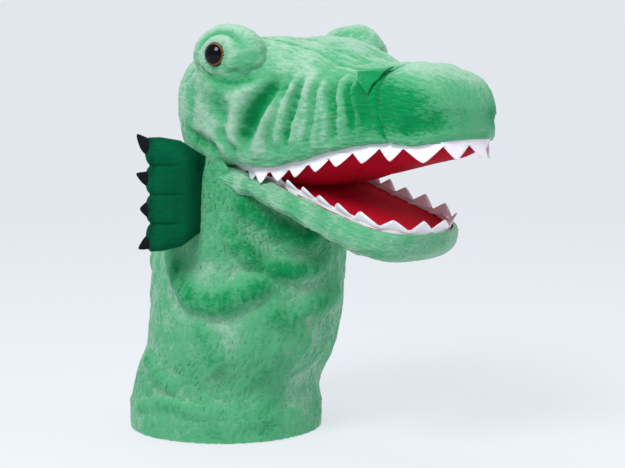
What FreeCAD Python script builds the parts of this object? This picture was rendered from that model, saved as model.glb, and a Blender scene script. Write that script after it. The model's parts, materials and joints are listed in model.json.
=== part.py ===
import FreeCAD, Part
import math
import os

# Plush crocodile hand puppet, standing on its cuff. Millimetres.
# Origin: centre of the hand opening, at the bottom rim of the cuff.
# +Z up, the snout points along -Y, +X is the puppet's own left. The puppet is a mirror image about X = 0.

# ---- driving sizes ----------------------------------------------------------------------------
CUFF_RADIUS = 66.0            # outside of the hem
SLEEVE_WAIST = 62.5           # narrowest radius, where the sleeve starts to lean
SLEEVE_RADIUS = 65.0          # above the waist, and at the turning gap
SLEEVE_LEAN = 25.0            # how far the top of the sleeve leans towards the snout
SLEEVE_HEIGHT = 114.0         # cuff rim to the turning gap
FABRIC = 2.6                  # plush with its pile
HEM_HEIGHT = 18.0
HEM_THICKNESS = 4.5
TURN_GAP = 1.2                # between the sleeve and the neck above it
FOLD_BACK = 58.0              # mouth fold in front of the cuff's centre line
FOLD_HEIGHT = 191.0
FOLD_RADIUS = 3.0             # roll of lining at the back of the mouth
MOUTH_HALF_WIDTH = 45.0       # mouth corners
HEAD_BACK_REACH = 58.0        # fold to the back of the head
HEAD_HALF_WIDTH = 57.0
CROWN_HEIGHT = 273.0          # top of the crown above the cuff rim
CROWN_LENGTH = 46.0           # fold to where the crown drops towards the snout
SNOUT_LENGTH = 160.0          # fold to the tip of the nose
SNOUT_HALF_WIDTH = 43.0
SNOUT_TOP = 258.0
NOSE_DROP = 17.0              # top of the snout down to the shoulder of the nose tip
UPPER_PITCH = 8.0             # degrees, upper lip line above level
LOWER_PITCH = 18.2            # degrees, lower lip line below level
NOSE_PANEL_DEPTH = 26.0       # nose tip back to the nose seam
CROWN_HALF_WIDTH = 25.0       # centre strip between the cheek panels
CROWN_PADDING = 24.0          # depth of the stuffing under the crown
JAW_LENGTH = 138.0
JAW_HALF_WIDTH = 41.5
JAW_DEPTH = 20.0              # lower lip to the underside of the jaw, at the fold
CHIN_DEPTH = 14.0             # the same at the front of the chin
JAW_CORNER = 20.0             # plan radius of the chin's front corners
PLATE = 2.0                   # stiff board
LINING = 2.0
PALATE_PAD = 8.0              # padded palate lining at its thickest
PAD_RUN = 95.0                # fold to where the pad reaches that thickness
TOOTH_PITCH = 20.5
TOOTH_HEIGHT = 9.5
TOOTH_RISE = 4.1              # degrees, how fast the teeth grow from the mouth corner
FELT = 1.5
FELT_INSET = 0.5              # felt strip behind the lip's outer face
MOUND_X = 57.0                # centre of each eye mound
MOUND_FORWARD = 11.0          # mound centre ahead of the mouth fold
MOUND_HEIGHT = 262.5
MOUND_RADIUS = 19.5
EYE_RADIUS = 8.0
EYE_DOME = 5.0
EYE_TURN = 74.0               # degrees, each eye turned outwards from straight ahead
SHANK_RADIUS = 2.5
SHANK_LENGTH = 14.0
WASHER_RADIUS = 7.0
WASHER_THICKNESS = 1.6
WASHER_SEAT = 9.5             # back of the eye to the washer
NOSTRIL_THICKNESS = 1.2
FINGER_POCKET = (74.0, 72.0, 25.0)    # wide, deep, tall
FINGER_POCKET_START = 24.0            # fold to the pocket's open end
THUMB_POCKET_SIZE = (36.0, 44.0)   # wide, deep; its height is what the jaw leaves
THUMB_POCKET_GAP = 0.4
THUMB_POCKET_START = 36.0
POCKET_WALL = 1.2
PAW_TOES = 4
PAW_TOE_HEIGHT = 19.0
PAW_REACH = 31.0              # seam to the ends of the toes
PAW_THICKNESS = 20.0
PAW_BOTTOM = 134.0
PAW_SEAM_FORWARD = 20.0       # seam ahead of the middle of the sleeve's top
PAW_SWEPT = 20.0              # degrees, paw swept back from straight out
PAW_STANDOFF = 2.2            # seam outside the cloth of the neck
CLAW_RADIUS = 4.2
CLAW_TIP_RADIUS = 1.2
CLAW_LENGTH = 11.0
CLAW_SPREAD = 35.0            # degrees, outermost claws up and down from level

# ---- motion, degrees --------------------------------------------------------------------------
UPPER_LIFT = 10.0
LOWER_OPEN = 12.0
CLEAR = 2.0                   # extra degrees between moving pieces at a limit
ROUND_CLEAR = 0.6             # mm between pieces of two bodies that nearly touch
PLATE_CLEAR = 0.4             # mm between a mouth plate and the stuffing on it

# ---- derived ----------------------------------------------------------------------------------
FOLD = FreeCAD.Vector(0, -FOLD_BACK, FOLD_HEIGHT)
X_AXIS = FreeCAD.Vector(1, 0, 0)
Z_AXIS = FreeCAD.Vector(0, 0, 1)
BIG = 400.0
JAW_FLARE = 28.0              # degrees, underside of the jaw below its lip line near the fold
NECK_FRONT_ANGLE = 180 + LOWER_PITCH + JAW_FLARE + LOWER_OPEN + CLEAR
NECK_BACK_ANGLE = 360 - UPPER_LIFT - CLEAR
NOSE_TIP = FOLD.y - SNOUT_LENGTH
NOSE_SEAM = NOSE_TIP + NOSE_PANEL_DEPTH
HEAD_BACK = FOLD.y + HEAD_BACK_REACH
PAW_SEAM = FreeCAD.Vector(math.sqrt(SLEEVE_RADIUS ** 2 - PAW_SEAM_FORWARD ** 2) + PAW_STANDOFF,
                          -SLEEVE_LEAN - PAW_SEAM_FORWARD, 0)


def export(shape, name):
    """Write one node."""
    shape.exportStep("parts/" + name + ".step")


def box(x0, x1, y0, y1, z0, z1):
    """An upright box between two corners."""
    return Part.makeBox(x1 - x0, y1 - y0, z1 - z0, FreeCAD.Vector(x0, y0, z0))


def fold_wedge(start_deg, end_deg, radius=BIG, half_width=BIG):
    """The sector about the mouth fold between two angles (180 is straight ahead, 90 is up)."""
    steps = max(2, int(math.ceil((end_deg - start_deg) / 60.0)) + 1)
    rim = []
    for i in range(steps):
        angle = math.radians(start_deg + (end_deg - start_deg) * i / (steps - 1))
        rim.append(FreeCAD.Vector(-half_width, FOLD.y + radius * math.cos(angle),
                                  FOLD.z + radius * math.sin(angle)))
    start = FreeCAD.Vector(-half_width, FOLD.y, FOLD.z)
    face = Part.Face(Part.makePolygon([start] + rim + [start]))
    return face.extrude(FreeCAD.Vector(2 * half_width, 0, 0))


def fold_cylinder(radius, half_width):
    """A cylinder along the mouth fold."""
    start = FreeCAD.Vector(-half_width, FOLD.y, FOLD.z)
    return Part.makeCylinder(radius, 2 * half_width, start, X_AXIS)


def jaw_frame(shape, pitch):
    """Take a shape drawn flat (fold at the origin, snout along -Y) to its place in the mouth."""
    placed = shape.copy()
    placed.rotate(FreeCAD.Vector(0, 0, 0), X_AXIS, pitch)
    placed.translate(FOLD)
    return placed


def jaw_unframe(shape, pitch):
    """The reverse of jaw_frame: lay a placed shape flat with the fold at the origin."""
    placed = shape.copy()
    placed.translate(FOLD * -1)
    placed.rotate(FreeCAD.Vector(0, 0, 0), X_AXIS, -pitch)
    return placed


def mirrored(shape):
    """The same piece on the puppet's other side."""
    return shape.mirror(FreeCAD.Vector(0, 0, 0), X_AXIS)


def symmetric(shape):
    """The left half of a shape joined to its exact mirror image, as one solid."""
    half = shape.common(box(0, BIG, -BIG, BIG, -BIG, BIG))
    return half.fuse(mirrored(half))


# ---- sleeve and neck --------------------------------------------------------------------------
def oval(centre_y, height, half_x, half_y):
    """A level closed ring, round or oval."""
    if abs(half_x - half_y) < 0.01:
        edge = Part.Circle(FreeCAD.Vector(0, centre_y, height), Z_AXIS, half_x).toShape()
    else:
        edge = Part.Ellipse(FreeCAD.Vector(0, 0, 0), half_x, half_y).toShape()
        edge.translate(FreeCAD.Vector(0, centre_y, height))
    return Part.Wire(edge)


def sleeve_loft(inset):
    """The sleeve's outside above the hem, set in by a wall: upright, then leaning to the snout."""
    span = SLEEVE_HEIGHT - HEM_HEIGHT
    rings = ((0.0, 0.0, CUFF_RADIUS - 1.0), (0.22, 0.12, SLEEVE_WAIST),
             (0.5, 0.7, SLEEVE_RADIUS - 1.0), (0.8, 0.94, SLEEVE_RADIUS), (1.0, 1.0, SLEEVE_RADIUS))
    wires = []
    for share, lean, radius in rings:
        wires.append(oval(-SLEEVE_LEAN * lean, HEM_HEIGHT + share * span, radius - inset, radius - inset))
    return Part.makeLoft(wires, True, False)


def make_sleeve():
    """Cuff hem and the two sleeve panels."""
    hem = Part.makeCylinder(CUFF_RADIUS, HEM_HEIGHT)
    hem = hem.cut(Part.makeCylinder(CUFF_RADIUS - HEM_THICKNESS, HEM_HEIGHT))
    wall = sleeve_loft(0).cut(sleeve_loft(FABRIC))
    middle = -SLEEVE_LEAN / 2
    export(hem, "cuff_hem")
    export(wall.common(box(-BIG, BIG, -BIG, middle, 0, BIG)), "sleeve_front_panel")
    export(wall.common(box(-BIG, BIG, middle, BIG, 0, BIG)), "sleeve_back_panel")


def neck_loft(inset):
    """The neck's outside, from the round sleeve to the narrower nape, set in by a wall."""
    low = SLEEVE_HEIGHT + TURN_GAP
    half_y = SLEEVE_RADIUS * 0.7
    top_centre = HEAD_BACK - half_y
    middle = (top_centre - SLEEVE_LEAN) / 2
    wires = [oval(-SLEEVE_LEAN, low, SLEEVE_RADIUS - inset, SLEEVE_RADIUS - inset),
             oval(middle, (low + FOLD.z) / 2, SLEEVE_RADIUS - 2 - inset, SLEEVE_RADIUS - 8 - inset),
             oval(top_centre, FOLD.z, HEAD_HALF_WIDTH - inset, half_y - inset)]
    return Part.makeLoft(wires, True, False)


def make_neck():
    """Throat and nape panels, and the roll of lining at the back of the mouth."""
    wall = neck_loft(0).cut(neck_loft(FABRIC))
    wall = wall.common(fold_wedge(NECK_FRONT_ANGLE, NECK_BACK_ANGLE))
    seam = -SLEEVE_LEAN
    export(wall.common(box(-BIG, BIG, -BIG, seam, 0, BIG)), "throat_panel")
    export(wall.common(box(-BIG, BIG, seam, BIG, 0, BIG)), "nape_panel")
    export(fold_cylinder(FOLD_RADIUS, MOUTH_HALF_WIDTH - 2), "mouth_fold_lining")


# ---- head -------------------------------------------------------------------------------------
def lip_height(y):
    """Height of the upper lip line."""
    return FOLD.z + (FOLD.y - y) * math.tan(math.radians(UPPER_PITCH))


def section(y, half_width, low, high, power):
    """A closed cross-section of the head: a squared ellipse."""
    points = []
    count = 16
    for i in range(count):
        angle = 2 * math.pi * i / count
        c, s = math.cos(angle), math.sin(angle)
        x = half_width * math.copysign(abs(c) ** (2 / power), c)
        z = (high + low) / 2 + (high - low) / 2 * math.copysign(abs(s) ** (2 / power), s)
        points.append(FreeCAD.Vector(x, y, z))
    curve = Part.BSplineCurve()
    curve.interpolate(Points=points, PeriodicFlag=True)
    return Part.Wire(curve.toShape())


def head_loft(inset):
    """The head and upper jaw, drawn down past the lip line, set in by a wall."""
    slope = FOLD.y - CROWN_LENGTH
    drop_end = slope - (SNOUT_LENGTH - CROWN_LENGTH - NOSE_PANEL_DEPTH) * 0.5
    middle = (HEAD_HALF_WIDTH + SNOUT_HALF_WIDTH) / 2
    # y, half width, top, and how far the section reaches below the lip line
    rows = (
        (HEAD_BACK - inset, HEAD_HALF_WIDTH - 20, CROWN_HEIGHT - 24, 18),
        (HEAD_BACK - 12, HEAD_HALF_WIDTH - 4, CROWN_HEIGHT - 8, 20),
        (FOLD.y, HEAD_HALF_WIDTH, CROWN_HEIGHT, 8),
        (slope, middle + 2, CROWN_HEIGHT, 14),
        (drop_end, SNOUT_HALF_WIDTH + 1, SNOUT_TOP + 2, 20),
        (NOSE_SEAM, SNOUT_HALF_WIDTH, SNOUT_TOP - 1, 22),
        (NOSE_TIP + 12, SNOUT_HALF_WIDTH - 3, SNOUT_TOP - NOSE_DROP / 2, 22),
        (NOSE_TIP + inset, SNOUT_HALF_WIDTH - 14, SNOUT_TOP - NOSE_DROP, 10))
    wires = []
    for y, half_width, high, drop in rows:
        wires.append(section(y, half_width - inset, lip_height(y) - drop + inset, high - inset, 3.0))
    return symmetric(Part.makeLoft(wires, True, False))


def lip_slab(low, high):
    """The slab between two heights above the upper lip plane, in front of the fold."""
    flat = box(-BIG, BIG, -BIG, 0, low, high)
    return jaw_frame(flat, -UPPER_PITCH)


def make_head():
    """Panels, stuffing, mouth plate, lining and finger pocket of the head."""
    outer = head_loft(0)
    inner = head_loft(FABRIC)
    above_lips = fold_wedge(0, 180 - UPPER_PITCH)
    clear_of_fold = fold_cylinder(FOLD_RADIUS + ROUND_CLEAR, BIG)
    mounds = eye_mound().fuse(mirrored(eye_mound()))
    shell = outer.cut(inner).common(above_lips).cut(clear_of_fold).cut(mounds)
    export(shell.common(box(-BIG, BIG, -BIG, NOSE_SEAM, 0, BIG)), "nose_panel")
    rest = shell.common(box(-BIG, BIG, NOSE_SEAM, BIG, 0, BIG))
    export(rest.common(box(-CROWN_HALF_WIDTH, CROWN_HALF_WIDTH, -BIG, BIG, 0, BIG)), "crown_panel")
    cheek = rest.common(box(CROWN_HALF_WIDTH, BIG, -BIG, BIG, 0, BIG))
    export(cheek, "cheek_panel_left")
    export(mirrored(cheek), "cheek_panel_right")
    filling = inner.common(above_lips).cut(lip_slab(0, PLATE + PLATE_CLEAR)).cut(mounds)
    crown_floor = CROWN_HEIGHT - CROWN_PADDING
    export(filling.common(box(-BIG, BIG, NOSE_SEAM, BIG, crown_floor, BIG)), "crown_stuffing")
    export(filling.common(box(-BIG, BIG, -BIG, NOSE_SEAM, 0, BIG)), "nose_stuffing")
    export(inner.common(lip_slab(0, PLATE)).cut(clear_of_fold), "upper_mouth_plate")
    slope = math.degrees(math.atan(PALATE_PAD / PAD_RUN))
    pad = inner.common(lip_slab(-PALATE_PAD, 0)).cut(clear_of_fold)
    export(pad.common(fold_wedge(180 - UPPER_PITCH, 180 - UPPER_PITCH + slope)), "palate_lining")
    export(jaw_frame(pocket(FINGER_POCKET, FINGER_POCKET_START, PLATE), -UPPER_PITCH), "finger_pocket")


def pocket(size, start, low):
    """A flat cloth pocket, drawn flat, open towards the hand."""
    wide, deep, tall = size
    outside = box(-wide / 2, wide / 2, -start - deep, -start, low, low + tall)
    hollow = box(-wide / 2 + POCKET_WALL, wide / 2 - POCKET_WALL, -start - deep + POCKET_WALL, 1,
                 low + POCKET_WALL, low + tall - POCKET_WALL)
    return outside.cut(hollow)


def eye_direction():
    """The way the left eye looks."""
    turn = math.radians(EYE_TURN)
    return FreeCAD.Vector(math.sin(turn), -math.cos(turn), 0)


def eye_mound():
    """One padded brow, a ball standing half out of the head."""
    centre = FreeCAD.Vector(MOUND_X, FOLD.y - MOUND_FORWARD, MOUND_HEIGHT)
    return Part.makeSphere(MOUND_RADIUS, centre, eye_direction())


def make_eyes():
    """Brow, safety eye and lock washer on each side."""
    out = eye_direction()
    centre = FreeCAD.Vector(MOUND_X, FOLD.y - MOUND_FORWARD, MOUND_HEIGHT)
    seat = centre + out * (MOUND_RADIUS - 1.5)
    ball_radius = (EYE_RADIUS ** 2 + EYE_DOME ** 2) / (2 * EYE_DOME)
    ball = Part.makeSphere(ball_radius, seat + out * (EYE_DOME - ball_radius))
    dome = ball.common(Part.makeCylinder(EYE_RADIUS + 1, EYE_DOME + 1, seat, out))
    shank = Part.makeCylinder(SHANK_RADIUS, SHANK_LENGTH, seat, out * -1)
    disc = Part.makeCylinder(WASHER_RADIUS, WASHER_THICKNESS, seat - out * WASHER_SEAT, out * -1)
    washer = disc.cut(shank)
    mound = eye_mound().cut(Part.makeCylinder(EYE_RADIUS, EYE_DOME, seat, out)).cut(shank.fuse(disc))
    for name, piece in (("eye_mound", mound), ("eye", dome.fuse(shank)), ("eye_washer", washer)):
        export(piece, name + "_left")
        export(mirrored(piece), name + "_right")


def make_nostrils():
    """A flat tuck of dark plush on each side of the snout, just behind the nose seam."""
    behind = NOSE_SEAM + 8
    rear = FreeCAD.Vector(0, NOSE_SEAM + 23, SNOUT_TOP - 9)
    outline = Part.makePolygon([rear, FreeCAD.Vector(0, behind, SNOUT_TOP - 5),
                                FreeCAD.Vector(0, behind, SNOUT_TOP - 20), rear])
    prism = Part.Face(outline).extrude(FreeCAD.Vector(BIG, 0, 0))
    tuck = prism.common(head_loft(-NOSTRIL_THICKNESS)).cut(head_loft(0))
    export(tuck, "nostril_left")
    export(mirrored(tuck), "nostril_right")


# ---- teeth ------------------------------------------------------------------------------------
def tooth_cutter(start, end, direction, across):
    """What is cut away from a felt band between two places along it, leaving pointed teeth.

    across is True for the teeth across the front, which all have full height.
    """
    count = max(1, int(round(abs(end - start) / TOOTH_PITCH)))
    step = (end - start) / count
    far = 2 * TOOTH_HEIGHT * direction
    places = [(start, far), (start, 0)]
    for i in range(count):
        middle = start + (i + 0.5) * step
        height = TOOTH_HEIGHT
        if not across:
            height = min(height, abs(middle) * math.tan(math.radians(TOOTH_RISE)))
        places.append((middle, height * direction))
        places.append((start + (i + 1) * step, 0))
    places += [(end, far), (start, far)]
    if across:
        points = [FreeCAD.Vector(along, -BIG, up) for along, up in places]
        return Part.Face(Part.makePolygon(points)).extrude(FreeCAD.Vector(0, 2 * BIG, 0))
    points = [FreeCAD.Vector(-BIG, -along, up) for along, up in places]
    return Part.Face(Part.makePolygon(points)).extrude(FreeCAD.Vector(2 * BIG, 0, 0))


def cut_teeth(band, front, half_width, direction):
    """Cut a felt band, drawn flat, into teeth along both sides and across the front."""
    start = FOLD_RADIUS + 6
    sides = band.common(box(-BIG, BIG, -front, -start, -BIG, BIG))
    sides = sides.cut(tooth_cutter(start, front, direction, False))
    tip = band.common(box(-BIG, BIG, -BIG, -front, -BIG, BIG))
    tip = tip.cut(tooth_cutter(-half_width, half_width, direction, True))
    return sides.fuse(tip)


def make_teeth():
    """The two felt strips, sewn between lip and lining."""
    outside = head_loft(FELT_INSET).common(lip_slab(-TOOTH_HEIGHT, 0))
    upper = jaw_unframe(outside.cut(head_loft(FELT_INSET + FELT)), -UPPER_PITCH)
    upper = cut_teeth(upper, SNOUT_LENGTH - 14, SNOUT_HALF_WIDTH - 2, -1)
    export(jaw_frame(upper, -UPPER_PITCH), "upper_teeth")
    lower = jaw_plan(FELT_INSET, 0, TOOTH_HEIGHT).cut(jaw_plan(FELT_INSET + FELT, -1, TOOTH_HEIGHT + 1, 1.0))
    lower = cut_teeth(lower, JAW_LENGTH - 8, JAW_HALF_WIDTH - FELT_INSET, 1)
    export(jaw_frame(lower, LOWER_PITCH), "lower_teeth")


# ---- lower jaw --------------------------------------------------------------------------------
def jaw_plan(inset, low, high, back=0.0):
    """The lower jaw's plan outline as a prism, drawn flat with the fold at the origin."""
    half = JAW_HALF_WIDTH - inset
    corner = JAW_CORNER - inset
    front = -JAW_LENGTH + inset
    spread = (MOUTH_HALF_WIDTH - JAW_HALF_WIDTH) / (JAW_LENGTH - JAW_CORNER)
    rear_half = MOUTH_HALF_WIDTH - inset + spread * back
    diagonal = corner * (1 - math.sqrt(0.5))
    v = FreeCAD.Vector
    edges = [Part.makeLine(v(rear_half, back, low), v(half, front + corner, low)),
             Part.Arc(v(half, front + corner, low), v(half - diagonal, front + diagonal, low),
                      v(half - corner, front, low)).toShape(),
             Part.makeLine(v(half - corner, front, low), v(-half + corner, front, low)),
             Part.Arc(v(-half + corner, front, low), v(-half + diagonal, front + diagonal, low),
                      v(-half, front + corner, low)).toShape(),
             Part.makeLine(v(-half, front + corner, low), v(-rear_half, back, low)),
             Part.makeLine(v(-rear_half, back, low), v(rear_half, back, low))]
    return Part.Face(Part.Wire(edges)).extrude(v(0, 0, high - low))


def jaw_depth(inset):
    """What lies above the underside of the jaw, which rises towards the chin, set in by a wall."""
    v = FreeCAD.Vector
    front = -JAW_LENGTH - 1
    side = Part.makePolygon([v(-BIG, 1, BIG), v(-BIG, 1, -JAW_DEPTH + inset),
                             v(-BIG, front, -CHIN_DEPTH + inset), v(-BIG, front, BIG), v(-BIG, 1, BIG)])
    return Part.Face(side).extrude(v(2 * BIG, 0, 0))


def make_lower_jaw():
    """Chin panel, stuffing, mouth plate, lining and thumb pocket of the lower jaw."""
    clear_of_fold = fold_cylinder(FOLD_RADIUS + ROUND_CLEAR, BIG)
    sector = fold_wedge(180 + LOWER_PITCH, 180 + LOWER_PITCH + JAW_FLARE)
    board_top = -LINING
    board_low = board_top - PLATE
    hollow = jaw_plan(FABRIC, -JAW_DEPTH, 1, 1.0).common(jaw_depth(FABRIC))
    tray = jaw_plan(0, -JAW_DEPTH, 0).common(jaw_depth(0)).cut(hollow)
    export(jaw_frame(tray, LOWER_PITCH).common(sector).cut(clear_of_fold), "chin_panel")
    board = jaw_frame(jaw_plan(FABRIC, board_low, board_top), LOWER_PITCH).common(sector)
    export(board.cut(clear_of_fold), "lower_mouth_plate")
    lining = jaw_frame(jaw_plan(FABRIC, board_top, 0), LOWER_PITCH).common(sector)
    export(lining.cut(clear_of_fold), "lower_mouth_lining")
    wide, deep = THUMB_POCKET_SIZE
    reach = THUMB_POCKET_START + deep
    depth_there = JAW_DEPTH + (CHIN_DEPTH - JAW_DEPTH) * (reach + 1) / (JAW_LENGTH + 2)
    tall = depth_there - FABRIC + board_low - THUMB_POCKET_GAP
    thumb = pocket((wide, deep, tall), THUMB_POCKET_START, board_low - tall)
    export(jaw_frame(thumb, LOWER_PITCH), "thumb_pocket")
    stuffing = jaw_plan(FABRIC, -JAW_DEPTH, board_low).common(jaw_depth(FABRIC))
    behind = reach + 4
    stuffing = stuffing.common(box(-BIG, BIG, -BIG, -behind, -BIG, BIG))
    export(jaw_frame(stuffing, LOWER_PITCH), "chin_stuffing")


# ---- paws -------------------------------------------------------------------------------------
def paw_wedge(thickness, low, high):
    """A pad drawn straight out from the seam at the origin, between two heights, thinning to the seam."""
    half = thickness / 2
    thinning = PAW_REACH * 0.55
    rim = PAW_REACH + 1
    v = FreeCAD.Vector
    outline = [v(0, -PAW_STANDOFF, low), v(thinning, -half, low), v(PAW_REACH, -half, low),
               v(rim, -half / 2, low), v(rim, half / 2, low), v(PAW_REACH, half, low),
               v(thinning, half, low), v(0, PAW_STANDOFF, low), v(0, -PAW_STANDOFF, low)]
    return Part.Face(Part.makePolygon(outline)).extrude(v(0, 0, high - low))


def paw_outer():
    """Outside of one paw: a pad with a row of rounded toes."""
    top = PAW_BOTTOM + PAW_TOES * PAW_TOE_HEIGHT
    radius = PAW_TOE_HEIGHT / 2
    v = FreeCAD.Vector
    last = v(0, 0, PAW_BOTTOM + radius)
    edges = []
    for i in range(PAW_TOES):
        low = PAW_BOTTOM + i * PAW_TOE_HEIGHT
        first = v(PAW_REACH - radius, 0, low)
        after = v(PAW_REACH - radius, 0, low + PAW_TOE_HEIGHT)
        if i == 0:
            edges.append(Part.makeLine(last, first))
        edges.append(Part.Arc(first, v(PAW_REACH, 0, low + radius), after).toShape())
        last = after
    shoulder = v(0, 0, top - radius)
    edges.append(Part.makeLine(last, shoulder))
    edges.append(Part.makeLine(shoulder, v(0, 0, PAW_BOTTOM + radius)))
    pad = Part.Face(Part.Wire(edges)).extrude(v(0, PAW_THICKNESS, 0))
    pad.translate(v(0, -PAW_THICKNESS / 2, 0))
    return pad.common(paw_wedge(PAW_THICKNESS, PAW_BOTTOM, top))


def paw_hollow():
    """Space for the stuffing, which stops short of the seam, the toes and both ends."""
    end = PAW_TOE_HEIGHT / 2 + FABRIC
    low = PAW_BOTTOM + end
    high = PAW_BOTTOM + PAW_TOES * PAW_TOE_HEIGHT - end
    start = PAW_REACH * 0.3
    block = Part.makeBox(PAW_REACH - end - start, PAW_THICKNESS, high - low,
                         FreeCAD.Vector(start, -PAW_THICKNESS / 2, low))
    return block.common(paw_wedge(PAW_THICKNESS - 2 * FABRIC, low, high))


def at_paw_seam(shape):
    """Take a paw piece from the origin to the left side seam, swept back."""
    placed = shape.copy()
    placed.rotate(FreeCAD.Vector(0, 0, 0), Z_AXIS, PAW_SWEPT)
    placed.translate(PAW_SEAM)
    return placed


def make_paws():
    """Paw cover, stuffing and claws on each side."""
    outer = paw_outer()
    inner = paw_hollow()
    claws = []
    for i in range(PAW_TOES):
        height = PAW_BOTTOM + (i + 0.5) * PAW_TOE_HEIGHT
        lean = math.radians(CLAW_SPREAD * (2 * i / (PAW_TOES - 1) - 1))
        way = FreeCAD.Vector(math.cos(lean), 0, math.sin(lean))
        root = FreeCAD.Vector(PAW_REACH - FABRIC, 0, height)
        claws.append(Part.makeCone(CLAW_RADIUS, CLAW_TIP_RADIUS, CLAW_LENGTH, root, way).cut(outer))
    group = Part.makeCompound(claws)
    for name, piece in (("paw", outer.cut(inner)), ("paw_stuffing", inner), ("claws", group)):
        export(at_paw_seam(piece), name + "_left")
        export(mirrored(at_paw_seam(piece)), name + "_right")


os.makedirs("parts", exist_ok=True)
make_sleeve()
make_neck()
make_head()
make_eyes()
make_nostrils()
make_lower_jaw()
make_teeth()
make_paws()
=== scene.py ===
"""A plush crocodile hand puppet with a moving mouth: cloth, felt, stuffing and eyes over its frame."""

import json
import logging
import math
from dataclasses import dataclass, field
from enum import Enum
from typing import Any, Callable, Sequence

import bpy
import numpy as np
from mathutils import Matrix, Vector

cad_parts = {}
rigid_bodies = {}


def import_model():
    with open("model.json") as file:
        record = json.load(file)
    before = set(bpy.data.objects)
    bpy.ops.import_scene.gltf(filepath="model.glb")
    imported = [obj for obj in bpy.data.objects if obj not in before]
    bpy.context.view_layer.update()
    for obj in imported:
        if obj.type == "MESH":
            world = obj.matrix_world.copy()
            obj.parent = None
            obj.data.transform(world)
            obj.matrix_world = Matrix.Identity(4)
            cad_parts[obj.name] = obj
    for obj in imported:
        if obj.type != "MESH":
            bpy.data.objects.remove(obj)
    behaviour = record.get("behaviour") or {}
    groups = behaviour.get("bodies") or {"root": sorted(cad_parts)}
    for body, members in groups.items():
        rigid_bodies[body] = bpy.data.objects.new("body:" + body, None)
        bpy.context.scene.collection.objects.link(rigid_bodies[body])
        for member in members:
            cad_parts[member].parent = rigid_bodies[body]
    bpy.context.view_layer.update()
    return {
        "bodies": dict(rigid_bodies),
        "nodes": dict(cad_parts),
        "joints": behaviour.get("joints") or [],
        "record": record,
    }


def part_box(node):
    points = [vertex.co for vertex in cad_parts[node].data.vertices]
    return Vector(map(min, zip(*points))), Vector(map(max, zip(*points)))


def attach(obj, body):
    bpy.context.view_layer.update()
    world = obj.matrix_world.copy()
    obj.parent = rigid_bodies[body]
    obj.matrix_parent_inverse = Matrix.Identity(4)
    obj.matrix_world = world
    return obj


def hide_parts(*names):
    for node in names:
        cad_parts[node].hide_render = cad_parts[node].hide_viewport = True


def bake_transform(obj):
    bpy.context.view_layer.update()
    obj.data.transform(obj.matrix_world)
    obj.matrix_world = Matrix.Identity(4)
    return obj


LOG = logging.getLogger("puppet")
MM = 0.001
Keys = Sequence[tuple[float, float]]
Grid = np.ndarray
Colour = tuple[float, float, float]


class Side(Enum):
    """The puppet's own left and right; the value is the sign of X."""

    LEFT = 1
    RIGHT = -1

    @property
    def word(self) -> str:
        """The side's name as the frame's nodes spell it."""
        return self.name.lower()


# ---- numbers along a line ---------------------------------------------------------------------
def along(x: Any, keys: Keys) -> np.ndarray:
    """Follow a smooth line through keys without overshoot.

    Args:
        x: Where to read the line, one number or many.
        keys: Places and values, in rising order of place.

    Returns:
        The line's value at each x, held level beyond the first and last key.
    """
    xs = np.array([k[0] for k in keys], float)
    ys = np.array([k[1] for k in keys], float)
    step = np.diff(xs)
    slope = np.diff(ys) / step
    tangent = np.zeros(len(xs))
    for i in range(1, len(xs) - 1):
        a, b = slope[i - 1], slope[i]
        if a * b > 0:
            tangent[i] = 2 * a * b / (a + b)
    tangent[0], tangent[-1] = slope[0], slope[-1]
    q = np.clip(np.asarray(x, float), xs[0], xs[-1])
    i = np.clip(np.searchsorted(xs, q, side="right") - 1, 0, len(step) - 1)
    t = (q - xs[i]) / step[i]
    t2, t3 = t * t, t * t * t
    return ((2 * t3 - 3 * t2 + 1) * ys[i] + (t3 - 2 * t2 + t) * step[i] * tangent[i]
            + (3 * t2 - 2 * t3) * ys[i + 1] + (t3 - t2) * step[i] * tangent[i + 1])


def eased(x: Any, low: float, high: float) -> np.ndarray:
    """Rise smoothly from 0 at low to 1 at high."""
    t = np.clip((np.asarray(x, float) - low) / (high - low), 0, 1)
    return t * t * (3 - 2 * t)


def curve_through(points: Sequence[Sequence[float]], count: int) -> np.ndarray:
    """Sample a smooth curve through points at even spacing.

    Args:
        points: The points, of any dimension.
        count: How many samples.

    Returns:
        An array of count samples.
    """
    pts = np.array(points, float)
    dist = np.concatenate([[0], np.cumsum(np.linalg.norm(np.diff(pts, axis=0), axis=1))])
    fine = np.linspace(0, dist[-1], 8 * len(pts))
    if len(pts) > 2:
        dense = np.stack([along(fine, list(zip(dist, pts[:, k]))) for k in range(pts.shape[1])], axis=1)
    else:
        dense = np.stack([np.interp(fine, dist, pts[:, k]) for k in range(pts.shape[1])], axis=1)
    length = np.concatenate([[0], np.cumsum(np.linalg.norm(np.diff(dense, axis=0), axis=1))])
    even = np.linspace(0, length[-1], count)
    return np.stack([np.interp(even, length, dense[:, k]) for k in range(pts.shape[1])], axis=1)


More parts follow.
